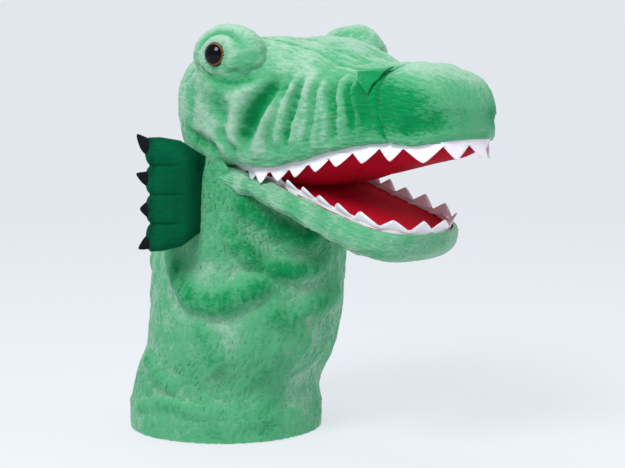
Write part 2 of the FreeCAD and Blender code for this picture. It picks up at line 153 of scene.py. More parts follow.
@dataclass(frozen=True)
class Fold:
    """A valley (depth above 0) or a ridge (below 0) along a line on a surface, in millimetres."""

    points: tuple[tuple[float, float], ...]
    width: float
    depth: float
    shoulder: float = 0.35
    fade: float = 0.25

    def relief(self, x: Grid, y: Grid) -> Grid:
        """Height that the fold adds at each place.

        Args:
            x: First surface coordinate.
            y: Second surface coordinate.

        Returns:
            Millimetres outward.
        """
        line = curve_through(self.points, 14)
        best = np.full(x.shape, 1e9)
        where = np.zeros(x.shape)
        for i in range(len(line) - 1):
            a, b = line[i], line[i + 1]
            d = b - a
            t = np.clip(((x - a[0]) * d[0] + (y - a[1]) * d[1]) / max(d @ d, 1e-9), 0, 1)
            gap = np.hypot(x - a[0] - t * d[0], y - a[1] - t * d[1])
            nearer = gap < best
            best = np.where(nearer, gap, best)
            where = np.where(nearer, (i + t) / (len(line) - 1), where)
        taper = eased(where, 0, self.fade) * (1 - eased(where, 1 - self.fade, 1)) if self.fade else 1.0
        q = best / self.width
        valley = -np.exp(-q * q)
        banks = self.shoulder * np.exp(-((q - 1.9) ** 2))
        return self.depth * taper * (valley + banks)


@dataclass(frozen=True)
class Ripple:
    """Loose, seeded unevenness of cloth."""

    seed: int
    size: float
    height: float
    stretch: tuple[float, float] = (1.0, 1.0)

    def relief(self, x: Grid, y: Grid) -> Grid:
        """Height of the unevenness at each place, in millimetres."""
        rng = np.random.default_rng(self.seed)
        total = np.zeros(x.shape)
        for _ in range(9):
            angle = rng.uniform(0, math.tau)
            turns = math.tau / (self.size * rng.uniform(0.7, 1.7))
            phase = rng.uniform(0, math.tau)
            total += np.sin(turns * (x / self.stretch[0] * math.cos(angle)
                                     + y / self.stretch[1] * math.sin(angle)) + phase)
        return self.height * total / 3


@dataclass(frozen=True)
class PaintedShadingPatch:
    """A soft patch of painted shading, deeper where the amount is below 0 and paler where it is above 0; partly pile
    lying another way, partly painted shade and light.
    """

    centre: tuple[float, float, float]
    radius: float
    amount: float

    def at(self, points: Grid) -> Grid:
        """How much the patch adds at each point."""
        gap = np.linalg.norm((points - np.array(self.centre)) / self.radius, axis=-1)
        return self.amount * np.exp(-gap * gap)


def both(centre: tuple[float, float, float], radius: float, amount: float) -> tuple[PaintedShadingPatch, PaintedShadingPatch]:
    """The same painted shading patch on the left and on the right."""
    x, y, z = centre
    return PaintedShadingPatch((-x, y, z), radius, amount), PaintedShadingPatch(centre, radius, amount)


# ---- meshes -----------------------------------------------------------------------------------
def grid_normals(points: Grid, closed: tuple[bool, bool] = (False, False)) -> Grid:
    """Unit normals of a grid of points, along du x dv.

    Args:
        points: Array of shape (rows, columns, 3).
        closed: Whether rows and columns run round.

    Returns:
        An array of the same shape.
    """
    wide = points
    for axis, ring in enumerate(closed):
        if ring:
            last = np.take(wide, [-1], axis=axis)
            first = np.take(wide, [0], axis=axis)
            wide = np.concatenate([last, wide, first], axis=axis)
    du = np.gradient(wide, axis=0)
    dv = np.gradient(wide, axis=1)
    if closed[0]:
        du, dv = du[1:-1], dv[1:-1]
    if closed[1]:
        du, dv = du[:, 1:-1], dv[:, 1:-1]
    n = np.cross(du, dv)
    size = np.linalg.norm(n, axis=-1, keepdims=True)
    weak = size < 1e-7
    n = n / np.where(weak, 1, size)
    if weak.any():
        mean = n.sum(axis=1, keepdims=True)
        mean = mean / np.maximum(np.linalg.norm(mean, axis=-1, keepdims=True), 1e-9)
        n = np.where(weak, mean, n)
    return n


def combed(shape: tuple[int, int], seed: int, run: float, width: float) -> Grid:
    """Uneven values, longer down the rows than across, that repeat at the edges.

    Args:
        shape: Rows and columns.
        seed: Seed of the values.
        run: Length of a tuft in rows.
        width: Width of a tuft in columns.

    Returns:
        Values with a mean of about nothing and a spread of one.
    """
    spectrum = np.fft.fft2(np.random.default_rng(seed).normal(size=shape))
    down, over = np.fft.fftfreq(shape[0])[:, None], np.fft.fftfreq(shape[1])[None, :]
    soft = np.exp(-2 * math.pi ** 2 * ((down * run) ** 2 + (over * width) ** 2))
    values = np.fft.ifft2(spectrum * soft).real
    return values / values.std()


TUFTS = ((0.6, 1.9, 0.8), (0.55, 0.9, 0.45), (0.16, 7.0, 4.0))
EDGE_ROWS, EDGE_COLUMNS = 5, 4


def with_pile(points: Grid, nap: Grid, normal: Grid, seed: int, rise: float = 0.4, closed: bool = False,
              tint: float = 0.42) -> tuple[Grid, Grid]:
    """Raise the pile in combed tufts that fade out at the cloth's edges, and colour raised tufts paler as a painted
    highlight over their random tone.

    Args:
        points: The cloth's outside.
        nap: Its colour values, pile tone with painted shade and light.
        normal: Directions out of the cloth.
        seed: Seed of the tufts.
        rise: How far a tuft stands out.
        closed: Whether the columns meet.
        tint: How much paler a raised tuft is, a painted highlight.

    Returns:
        The new outside and colour values.
    """
    tufts = np.tanh(sum(share * combed(nap.shape, seed + i, run, width)
                        for i, (share, run, width) in enumerate(TUFTS)))
    rows, cols = nap.shape
    down, over = np.arange(rows)[:, None], np.arange(cols)[None, :]
    fade = np.clip(np.minimum(down, rows - 1 - down) / EDGE_ROWS, 0, 1)
    if not closed:
        fade = fade * np.clip(np.minimum(over, cols - 1 - over) / EDGE_COLUMNS, 0, 1)
    tufts = tufts * fade
    # Raised tufts are coloured paler: painted highlight on the tuft tops, over their random pile tone.
    return points + normal * (tufts * rise)[..., None], nap + tint * tufts


class MeshMaker:
    """Collects vertices, faces and one value per vertex, and makes an object of them."""

    def __init__(self) -> None:
        """Start empty."""
        self.points: list[np.ndarray] = []
        self.values: list[np.ndarray] = []
        self.faces: list[tuple[int, ...]] = []
        self.sharp: set[tuple[int, int]] = set()
        self.count = 0

    def add_grid(self, points: Grid, value: Grid, closed: tuple[bool, bool] = (False, False),
                 flip: bool = False) -> np.ndarray:
        """Add a grid of quads.

        Args:
            points: Array of shape (rows, columns, 3), in millimetres.
            value: One number per point.
            closed: Whether rows and columns run round.
            flip: Turn the faces over.

        Returns:
            The index of each point.
        """
        rows, cols = points.shape[:2]
        index = np.arange(rows * cols).reshape(rows, cols) + self.count
        self.points.append(points.reshape(-1, 3))
        self.values.append(np.broadcast_to(value, (rows, cols)).reshape(-1))
        self.count += rows * cols
        for i in range(rows if closed[0] else rows - 1):
            for j in range(cols if closed[1] else cols - 1):
                a, b = index[i, j], index[(i + 1) % rows, j]
                c, d = index[(i + 1) % rows, (j + 1) % cols], index[i, (j + 1) % cols]
                self.faces.append((a, d, c, b) if flip else (a, b, c, d))
        return index

    def bridge(self, first: np.ndarray, second: np.ndarray, ring: bool, flip: bool = False) -> None:
        """Join two rows of points with quads and mark their long edges sharp."""
        n = len(first)
        for i in range(n if ring else n - 1):
            a, b, c, d = first[i], first[(i + 1) % n], second[(i + 1) % n], second[i]
            self.faces.append((d, c, b, a) if flip else (a, b, c, d))
            self.sharp.add((min(a, b), max(a, b)))
            self.sharp.add((min(c, d), max(c, d)))

    def close_rims(self, top: np.ndarray, low: np.ndarray, closed: tuple[bool, bool] = (False, False),
                   outward: bool = False) -> None:
        """Join the open edges of two grids that lie face to face.

        Args:
            top: Indices of the first grid.
            low: Indices of the second grid.
            closed: Whether rows and columns run round.
            outward: True when du x dv of the first grid points out.
        """
        if not closed[0]:
            self.bridge(top[0], low[0], closed[1], flip=outward)
            self.bridge(top[-1], low[-1], closed[1], flip=not outward)
        if not closed[1]:
            self.bridge(top[:, 0], low[:, 0], closed[0], flip=not outward)
            self.bridge(top[:, -1], low[:, -1], closed[0], flip=outward)

    def build(self, name: str, material: bpy.types.Material, weld: bool = False) -> bpy.types.Object:
        """Make the object.

        Args:
            name: The object's name.
            material: Its only material.
            weld: Join points that lie on each other.

        Returns:
            The new object, linked to the scene.
        """
        mesh = bpy.data.meshes.new(name)
        co = np.concatenate(self.points) * MM
        mesh.from_pydata(co.tolist(), [], [tuple(int(k) for k in f) for f in self.faces])
        # Per-point colour value: pile tone plus painted shade in folds and creases and painted light on ridges; on the
        # eyes it holds the ring place.
        tone = mesh.attributes.new("nap", "FLOAT", "POINT")
        tone.data.foreach_set("value", np.concatenate(self.values).astype(np.float32))
        mesh.polygons.foreach_set("use_smooth", [True] * len(mesh.polygons))
        if self.sharp:
            flags = mesh.attributes.new("sharp_edge", "BOOLEAN", "EDGE")
            keys = np.zeros(len(mesh.edges), bool)
            for edge in mesh.edges:
                if (min(edge.vertices), max(edge.vertices)) in self.sharp:
                    keys[edge.index] = True
            flags.data.foreach_set("value", keys)
        mesh.materials.append(material)
        mesh.update()
        made = bpy.data.objects.new(name, mesh)
        bpy.context.scene.collection.objects.link(made)
        if weld:
            weld_points(made)
        return made


def weld_points(made: bpy.types.Object) -> None:
    """Join points closer than a hundredth of a millimetre and drop the faces that vanish."""
    import bmesh
    work = bmesh.new()
    work.from_mesh(made.data)
    bmesh.ops.remove_doubles(work, verts=work.verts, dist=1e-5)
    bmesh.ops.dissolve_degenerate(work, edges=work.edges, dist=1e-6)
    bmesh.ops.recalc_face_normals(work, faces=work.faces)
    work.to_mesh(made.data)
    work.free()
    made.data.update()


def cloth_shell(name: str, points: Grid, value: Grid, thickness: float, material: bpy.types.Material,
                closed: tuple[bool, bool] = (False, False), outward: bool = True,
                tip: bool = False) -> bpy.types.Object:
    """Make a sheet of cloth with real thickness and closed rims.

    Args:
        name: The object's name.
        points: Outer face as a grid, in millimetres.
        value: Colour value of each point: pile tone with painted shade and painted light.
        thickness: Cloth thickness in millimetres.
        material: The cloth's finish.
        closed: Whether rows and columns run round.
        outward: True when du x dv points out of the cloth.
        tip: Whether the last row closes a rounded end, where the wall lies straight behind the face.

    Returns:
        The new object.
    """
    sign = 1.0 if outward else -1.0
    normal = grid_normals(points, closed) * sign
    if tip:
        ahead = normal[-6].mean(axis=0)
        ahead /= np.linalg.norm(ahead)
        for back, share in ((4, 0.3), (3, 0.6), (2, 0.85), (1, 1.0)):
            normal[-back] = normal[-back] * (1 - share) + ahead * share
    inner = points - normal * thickness
    maker = MeshMaker()
    top = maker.add_grid(points, value, closed, flip=not outward)
    low = maker.add_grid(inner, value, closed, flip=outward)
    maker.close_rims(top, low, closed, outward)
    return maker.build(name, material)


# ---- finishes ---------------------------------------------------------------------------------
class Tree:
    """Short calls for making a material's nodes."""

    def __init__(self, name: str) -> None:
        """Start a material with an empty tree."""
        self.material = bpy.data.materials.new(name)
        self.material.use_nodes = True
        self.nodes = self.material.node_tree.nodes
        self.links = self.material.node_tree.links
        self.nodes.clear()

    def node(self, kind: str, **inputs: Any) -> bpy.types.Node:
        """Add a node.

        Args:
            kind: The node's type.
            **inputs: Constants or sockets; underscores stand for spaces, and props start with p_.

        Returns:
            The node.
        """
        made = self.nodes.new(kind)
        for key, value in inputs.items():
            if key.startswith("p_"):
                setattr(made, key[2:], value)
        for key, value in inputs.items():
            if key.startswith("p_"):
                continue
            socket = made.inputs[int(key[1:])] if key[0] == "i" and key[1:].isdigit() \
                else made.inputs[key.replace("_", " ")]
            if isinstance(value, bpy.types.NodeSocket):
                self.links.new(value, socket)
            else:
                socket.default_value = value
        return made

    def maths(self, operation: str, a: Any, b: Any = 0.0, clamp: bool = False) -> bpy.types.NodeSocket:
        """Add a math node and give its result."""
        return self.node("ShaderNodeMath", p_operation=operation, p_use_clamp=clamp, i0=a, i1=b).outputs[0]

    def noise(self, where: Any, scale: float, detail: float = 2.0, rough: float = 0.5) -> bpy.types.NodeSocket:
        """Add a noise texture and give its value."""
        return self.node("ShaderNodeTexNoise", Vector=where, Scale=scale, Detail=detail,
                         Roughness=rough).outputs["Fac"]

    def ramp(self, factor: Any, stops: Sequence[tuple[float, tuple[float, ...]]]) -> bpy.types.NodeSocket:
        """Add a colour ramp.

        Args:
            factor: Where to read it.
            stops: Places and linear colours.

        Returns:
            The colour.
        """
        made = self.node("ShaderNodeValToRGB", Fac=factor)
        band = made.color_ramp
        band.interpolation = "EASE"
        while len(band.elements) > 1:
            band.elements.remove(band.elements[-1])
        band.elements[0].position = stops[0][0]
        band.elements[0].color = (*stops[0][1][:3], 1)
        for place, colour in stops[1:]:
            item = band.elements.new(place)
            item.color = (*colour[:3], 1)
        return made.outputs["Color"]

    def mapped(self, scale: tuple[float, float, float]) -> bpy.types.NodeSocket:
        """Object coordinates, stretched."""
        where = self.node("ShaderNodeTexCoord").outputs["Object"]
        return self.node("ShaderNodeMapping", Vector=where, Scale=scale).outputs["Vector"]

    def bump(self, height: Any, strength: float, distance: float) -> bpy.types.NodeSocket:
        """Add a bump node and give its normal."""
        return self.node("ShaderNodeBump", Height=height, Strength=strength, Distance=distance).outputs["Normal"]

    def skin(self, **inputs: Any) -> bpy.types.Material:
        """Add the shader with its inputs, join it to the output and give the material."""
        shader = self.node("ShaderNodeBsdfPrincipled", **inputs)
        self.node("ShaderNodeOutputMaterial", Surface=shader.outputs["BSDF"])
        return self.material


@dataclass(frozen=True)
class PlushFinish:
    """Short pile whose colour goes from deep, where one looks into it and in painted shade of valleys and creases, to
    pale on ridges as painted light, with a painted sheen at grazing edges.
    """

    name: str
    deep: Colour
    middle: Colour
    pale: Colour
    sheen: float = 0.12
    mottle: float = 0.32
    bump: float = 0.9

    def make(self) -> bpy.types.Material:
        """Build the material."""
        tree = Tree(self.name)
        nap = tree.node("ShaderNodeAttribute", p_attribute_name="nap").outputs["Fac"]
        where = tree.mapped((1, 1, 1))
        streak = tree.mapped((1, 1, 2.4))
        broad = tree.noise(where, 26, 3.0, 0.6)
        patches = tree.noise(where, 75, 3.0, 0.6)
        tufts = tree.noise(streak, 340, 4.0, 0.75)
        pile = tree.noise(streak, 1500, 3.0, 0.7)
        mixed = tree.maths("MULTIPLY", tree.maths("SUBTRACT", broad, 0.5), 0.5)
        mixed = tree.maths("ADD", mixed, tree.maths("MULTIPLY", tree.maths("SUBTRACT", patches, 0.5), 0.6))
        mixed = tree.maths("ADD", mixed, tree.maths("MULTIPLY", tree.maths("SUBTRACT", tufts, 0.5), 0.9))
        # Painted sheen: the colour turns paler where the surface is seen at a grazing angle.
        painted_sheen_facing = tree.node("ShaderNodeLayerWeight", Blend=0.5).outputs["Facing"]
        edge = tree.maths("MULTIPLY", tree.maths("POWER", painted_sheen_facing, 2.5), 0.42)
        factor = tree.maths("ADD", tree.maths("MULTIPLY", mixed, self.mottle * 2), 0.46)
        # The per-point value adds painted shade in folds and creases and painted light on ridges.
        factor = tree.maths("ADD", factor, tree.maths("MULTIPLY", nap, 0.2))
        factor = tree.maths("ADD", factor, edge, clamp=True)
        colour = tree.ramp(factor, [(0.1, self.deep), (0.47, self.middle), (0.9, self.pale)])
        height = tree.maths("ADD", tree.maths("MULTIPLY", tufts, 0.9), tree.maths("MULTIPLY", pile, 0.6))
        bump = tree.bump(height, self.bump, 0.0016)
        return tree.skin(Base_Color=colour, Roughness=0.92,
                         Specular_IOR_Level=0.05, Sheen_Weight=self.sheen, Sheen_Roughness=0.4,
                         Sheen_Tint=(*self.pale, 1), Normal=bump)


@dataclass(frozen=True)
class FeltFinish:
    """Pressed fibre or smooth cloth with a fine uneven surface."""

    name: str
    colour: Colour
    shade: Colour
    grain: float = 900
    rough: float = 0.9
    sheen: float = 0.25
    bump: float = 0.3
    broad: float = 60

    def make(self) -> bpy.types.Material:
        """Build the material."""
        tree = Tree(self.name)
        where = tree.mapped((1, 1, 1))
        blotch = tree.noise(where, self.broad, 3.0, 0.55)
        fine = tree.noise(where, self.grain, 4.0, 0.65)
        nap = tree.node("ShaderNodeAttribute", p_attribute_name="nap").outputs["Fac"]
        factor = tree.maths("ADD", tree.maths("MULTIPLY", blotch, 0.7), tree.maths("MULTIPLY", fine, 0.35))
        # The per-point colour value adds painted shade, such as the deeper red at the back of the mouth.
        factor = tree.maths("ADD", factor, tree.maths("MULTIPLY", nap, 0.3), clamp=True)
        colour = tree.ramp(factor, [(0.2, self.shade), (0.62, self.colour)])
        bump = tree.bump(fine, self.bump, 0.0005)
        return tree.skin(Base_Color=colour, Roughness=self.rough,
                         Specular_IOR_Level=0.1, Sheen_Weight=self.sheen, Sheen_Roughness=0.5,
                         Normal=bump)


@dataclass(frozen=True)
class WeaveFinish:
    """Plain woven cloth."""

    name: str
    warp: Colour
    weft: Colour
    pitch: float = 2200

    def make(self) -> bpy.types.Material:
        """Build the material."""
        tree = Tree(self.name)
        where = tree.mapped((1, 1, 1))
        one = tree.node("ShaderNodeTexWave", Vector=where, Scale=self.pitch / 6, Distortion=0.6,
                        p_bands_direction="X").outputs["Fac"]
        two = tree.node("ShaderNodeTexWave", Vector=where, Scale=self.pitch / 6, Distortion=0.6,
                        p_bands_direction="Z").outputs["Fac"]
        weave = tree.maths("MULTIPLY", one, two)
        stain = tree.noise(where, 90, 3.0)
        colour = tree.ramp(tree.maths("ADD", tree.maths("MULTIPLY", weave, 0.6), tree.maths("MULTIPLY", stain, 0.4)),
                           [(0.2, self.weft), (0.8, self.warp)])
        bump = tree.bump(weave, 0.3, 0.0003)
        return tree.skin(Base_Color=colour, Roughness=0.9,
                         Specular_IOR_Level=0.2, Normal=bump)


@dataclass(frozen=True)
class FibreFinish:
    """Loose polyester filling."""

    name: str
    colour: Colour

    def make(self) -> bpy.types.Material:
        """Build the material."""
        tree = Tree(self.name)
        where = tree.mapped((1, 1, 1))
        tangle = tree.noise(where, 260, 6.0, 0.75)
        colour = tree.ramp(tangle, [(0.3, tuple(0.7 * c for c in self.colour)), (0.65, self.colour)])
        bump = tree.bump(tangle, 0.8, 0.002)
        return tree.skin(Base_Color=colour, Roughness=0.95,
                         Specular_IOR_Level=0.15, Sheen_Weight=0.4, Normal=bump)


@dataclass(frozen=True)
class PlasticFinish:
    """Moulded plastic with slight mould texture."""

    name: str
    colour: Colour
    rough: float = 0.45

    def make(self) -> bpy.types.Material:
        """Build the material."""
        tree = Tree(self.name)
        where = tree.mapped((1, 1, 1))
        grain = tree.noise(where, 700, 3.0)
        colour = tree.ramp(grain, [(0.3, tuple(0.85 * c for c in self.colour)), (0.7, self.colour)])
        bump = tree.bump(grain, 0.15, 0.0002)
        return tree.skin(Base_Color=colour, Roughness=self.rough,
                         Normal=bump)


@dataclass(frozen=True)
class EyeFinish:
    """Domed glossy eye: black pupil, thin amber ring and a dark edge, read from the per-point colour value, which here
    holds the place across the dome.
    """

    name: str

    def make(self) -> bpy.types.Material:
        """Build the material."""
        tree = Tree(self.name)
        ring = tree.node("ShaderNodeAttribute", p_attribute_name="nap").outputs["Fac"]
        where = tree.mapped((1, 1, 1))
        speck = tree.maths("MULTIPLY", tree.maths("SUBTRACT", tree.noise(where, 900, 3.0), 0.5), 0.08)
        ink, amber, rim = (0.002, 0.002, 0.004), (0.16, 0.075, 0.018), (0.012, 0.008, 0.006)
        colour = tree.ramp(tree.maths("ADD", ring, speck),
                           [(0.0, ink), (0.78, ink), (0.83, amber), (0.88, amber), (0.95, rim)])
        return tree.skin(Base_Color=colour, Roughness=0.06,
                         Specular_IOR_Level=0.16, Coat_Weight=0.0, Coat_Roughness=0.03)


class Slot(Enum):
    """The record's material slots."""

    GREEN = "green_plush"
    DARK = "dark_plush"
    CLAW = "black_felt"
    STUFFING = "stuffing"
    EYE = "eye"
    WASHER = "washer"
    FELT = "white_felt"
    RED = "red_lining"
    BOARD = "board"
    POCKET = "pocket_cloth"


def finishes() -> dict[Slot, bpy.types.Material]:
    """Make every finish once."""
    return {
        Slot.GREEN: PlushFinish("green_plush", (0.003, 0.28, 0.085), (0.11, 0.46, 0.23),
                                (0.38, 0.63, 0.47)).make(),
        Slot.DARK: PlushFinish("dark_plush", (0.0003, 0.034, 0.014), (0.0008, 0.105, 0.045),
                               (0.004, 0.19, 0.092), sheen=0.03).make(),
        Slot.CLAW: FeltFinish("black_felt", (0.006, 0.0065, 0.010), (0.002, 0.002, 0.003), sheen=0.02).make(),
        Slot.STUFFING: FibreFinish("stuffing", (0.82, 0.82, 0.8)).make(),
        Slot.EYE: EyeFinish("eye").make(),
        Slot.WASHER: PlasticFinish("washer", (0.8, 0.8, 0.77)).make(),
        Slot.FELT: FeltFinish("white_felt", (0.86, 0.83, 0.89), (0.70, 0.66, 0.76), sheen=0.1).make(),
        Slot.RED: FeltFinish("red_lining", (0.42, 0.0012, 0.016), (0.17, 0.0008, 0.005), grain=1400,
                             rough=0.8, sheen=0.0, bump=0.16).make(),
        Slot.BOARD: PlasticFinish("board", (0.42, 0.33, 0.24), 0.7).make(),
        Slot.POCKET: WeaveFinish("pocket_cloth", (0.72, 0.70, 0.65), (0.5, 0.48, 0.44)).make(),
    }


# ---- repeats ----------------------------------------------------------------------------------
def repeat_tree(name: str) -> bpy.types.NodeTree:
    """Node tree that sets one shape on every point, turned and scaled by the point's own values.

    Args:
        name: The tree's name.

    Returns:
        The tree, with the inputs Shape, Finish and Seed.
    """
    tree = bpy.data.node_groups.new(name, "GeometryNodeTree")
    face = tree.interface
    face.new_socket("Geometry", in_out="INPUT", socket_type="NodeSocketGeometry")
    face.new_socket("Shape", in_out="INPUT", socket_type="NodeSocketObject")
    face.new_socket("Finish", in_out="INPUT", socket_type="NodeSocketMaterial")
    seed = face.new_socket("Seed", in_out="INPUT", socket_type="NodeSocketInt")
    seed.default_value = 7
    face.new_socket("Geometry", in_out="OUTPUT", socket_type="NodeSocketGeometry")
    add, link = tree.nodes.new, tree.links.new
    entry, leave = add("NodeGroupInput"), add("NodeGroupOutput")
    dots, info = add("GeometryNodeMeshToPoints"), add("GeometryNodeObjectInfo")
    place, real = add("GeometryNodeInstanceOnPoints"), add("GeometryNodeRealizeInstances")
    paint, euler = add("GeometryNodeSetMaterial"), add("FunctionNodeEulerToRotation")
    jitter, total = add("FunctionNodeRandomValue"), add("ShaderNodeVectorMath")
    turn, size = add("GeometryNodeInputNamedAttribute"), add("GeometryNodeInputNamedAttribute")
    for item, word in ((turn, "turn"), (size, "size")):
        item.data_type = "FLOAT_VECTOR"
        item.inputs["Name"].default_value = word
    jitter.data_type = "FLOAT_VECTOR"
    jitter.inputs["Min"].default_value = (-0.05, -0.05, -0.05)
    jitter.inputs["Max"].default_value = (0.05, 0.05, 0.05)
    link(entry.outputs["Seed"], jitter.inputs["Seed"])
    link(turn.outputs[0], total.inputs[0])
    link(jitter.outputs[0], total.inputs[1])
    link(total.outputs[0], euler.inputs[0])
    link(entry.outputs["Geometry"], dots.inputs["Mesh"])
    link(entry.outputs["Shape"], info.inputs["Object"])
    link(dots.outputs[0], place.inputs["Points"])
    link(info.outputs["Geometry"], place.inputs["Instance"])
    link(euler.outputs[0], place.inputs["Rotation"])
    link(size.outputs[0], place.inputs["Scale"])
    link(place.outputs[0], real.inputs[0])
    link(real.outputs[0], paint.inputs["Geometry"])
    link(entry.outputs["Finish"], paint.inputs["Material"])
    link(paint.outputs[0], leave.inputs[0])
    return tree


def frame_turn(right: Vector, ahead: Vector, up: Vector) -> tuple[float, float, float]:
    """Euler angles that take X, Y and Z to three directions."""
    from mathutils import Matrix
    a, b, c = right.normalized(), ahead.normalized(), up.normalized()
    return tuple(Matrix(((a.x, b.x, c.x), (a.y, b.y, c.y), (a.z, b.z, c.z))).to_euler())


def repeated(name: str, shape: bpy.types.Object, places: Sequence[tuple[Vector, tuple, tuple]],
             material: bpy.types.Material, seed: int = 7) -> bpy.types.Object:
    """Set copies of a shape at places and give one plain mesh.

    Args:
        name: The new object's name.
        shape: What is copied; it is removed afterwards.
        places: Place in millimetres, Euler angles and scale of each copy.
        material: The copies' finish.
        seed: Seed of the small unevenness.

    Returns:
        The new object.
    """
    host = bpy.data.meshes.new(name + "_places")
    host.from_pydata([tuple(p * MM) for p, _, _ in places], [], [])
    for word, pick in (("turn", 1), ("size", 2)):
        item = host.attributes.new(word, "FLOAT_VECTOR", "POINT")
        item.data.foreach_set("vector", np.array([p[pick] for p in places], np.float32).reshape(-1))
    carrier = bpy.data.objects.new(name, host)
    bpy.context.scene.collection.objects.link(carrier)
    tree = repeat_tree(name + "_repeat")
    modifier = carrier.modifiers.new("repeat", "NODES")
    modifier.node_group = tree
    values = {"Shape": shape, "Finish": material, "Seed": seed}
    for item in tree.interface.items_tree:
        if item.in_out == "INPUT" and item.name in values:
            modifier[item.identifier] = values[item.name]
    bpy.context.view_layer.update()
    graph = bpy.context.evaluated_depsgraph_get()
    mesh = bpy.data.meshes.new_from_object(carrier.evaluated_get(graph))
    carrier.modifiers.clear()
    carrier.data = mesh
    mesh.polygons.foreach_set("use_smooth", [True] * len(mesh.polygons))
    if not mesh.materials:
        mesh.materials.append(material)
    bpy.data.meshes.remove(host)
    bpy.data.objects.remove(shape)
    bpy.data.node_groups.remove(tree)
    return carrier


def joined(first: bpy.types.Object, *others: bpy.types.Object) -> bpy.types.Object:
    """Put the meshes of other objects into the first one."""
    with bpy.context.temp_override(active_object=first, selected_editable_objects=[first, *others]):
        bpy.ops.object.join()
    return first


# ---- where things are -------------------------------------------------------------------------
@dataclass(frozen=True)
class Layout:
    """Places taken from the frame, in millimetres."""

    fold_y: float
    fold_z: float
    hem_radius: float
    hem_height: float
    mound: Vector
    mound_radius: float
    paw_seam: Vector
    paw_low: float
    paw_high: float

    @classmethod
    def read(cls, frame: dict[str, Any]) -> "Layout":
        """Read the places from the joints and the boxes of the frame's nodes.


        Returns:
            The layout.
        """
        joints = {j["name"]: j for j in frame["record"]["behaviour"]["joints"]}
        fold = joints["upper_jaw_lift"]["pos_m"]
        paw = joints["paw_left_swing"]["pos_m"]
        hem_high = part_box("cuff_hem")[1]
        mound_low, mound_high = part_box("eye_mound_left")
        paw_low, paw_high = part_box("paw_left")
        middle = (mound_low + mound_high) / 2
        return cls(fold[1] / MM, fold[2] / MM, hem_high.x / MM, hem_high.z / MM, middle / MM,
                   (mound_high.z - mound_low.z) / 2 / MM, Vector(paw) / MM, paw_low.z / MM, paw_high.z / MM)


@dataclass
class Painter:
    """Puts finished pieces on bodies or bakes them in place, and hides the frame nodes they replace."""

    finish: dict[Slot, bpy.types.Material]

    def settle(self, piece: bpy.types.Object, slot: Slot, body: str, *nodes: str) -> bpy.types.Object:
        """Let a piece ride on a body.

        Args:
            piece: The finished piece.
            slot: Not used.
            body: The body it rides on.
            *nodes: The frame nodes it stands for.

        Returns:
            The piece.
        """
        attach(piece, body)
        return self.note(piece, body, nodes)

    def bend(self, piece: bpy.types.Object, slot: Slot, pair: tuple[str, str], start: Sequence[float],
             end: Sequence[float], *nodes: str) -> bpy.types.Object:
        """Bake a piece's place into its mesh, between two bodies but parented to neither.

        Args:
            piece: The finished piece.
            slot: Not used.
            pair: The two bodies.
            start: Not used.
            end: Not used.
            *nodes: The frame nodes it stands for.

        Returns:
            The piece.
        """
        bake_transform(piece)
        return self.note(piece, " and ".join(pair), nodes)

    def note(self, piece: bpy.types.Object, body: str, nodes: Sequence[str]) -> bpy.types.Object:
        """Hide the replaced nodes and log the piece."""
        if nodes:
            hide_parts(*nodes)
        LOG.info("%s on %s, %d faces", piece.name, body, len(piece.data.polygons))
        return piece


def ring_line(*points: tuple[float, float]) -> tuple[tuple[float, float], ...]:
    """Turn (degrees round the sleeve, height) into (millimetres round, height)."""
    return tuple((a * DEGREE_RUN, z) for a, z in points)


DEGREE_RUN = 64 * math.pi / 180


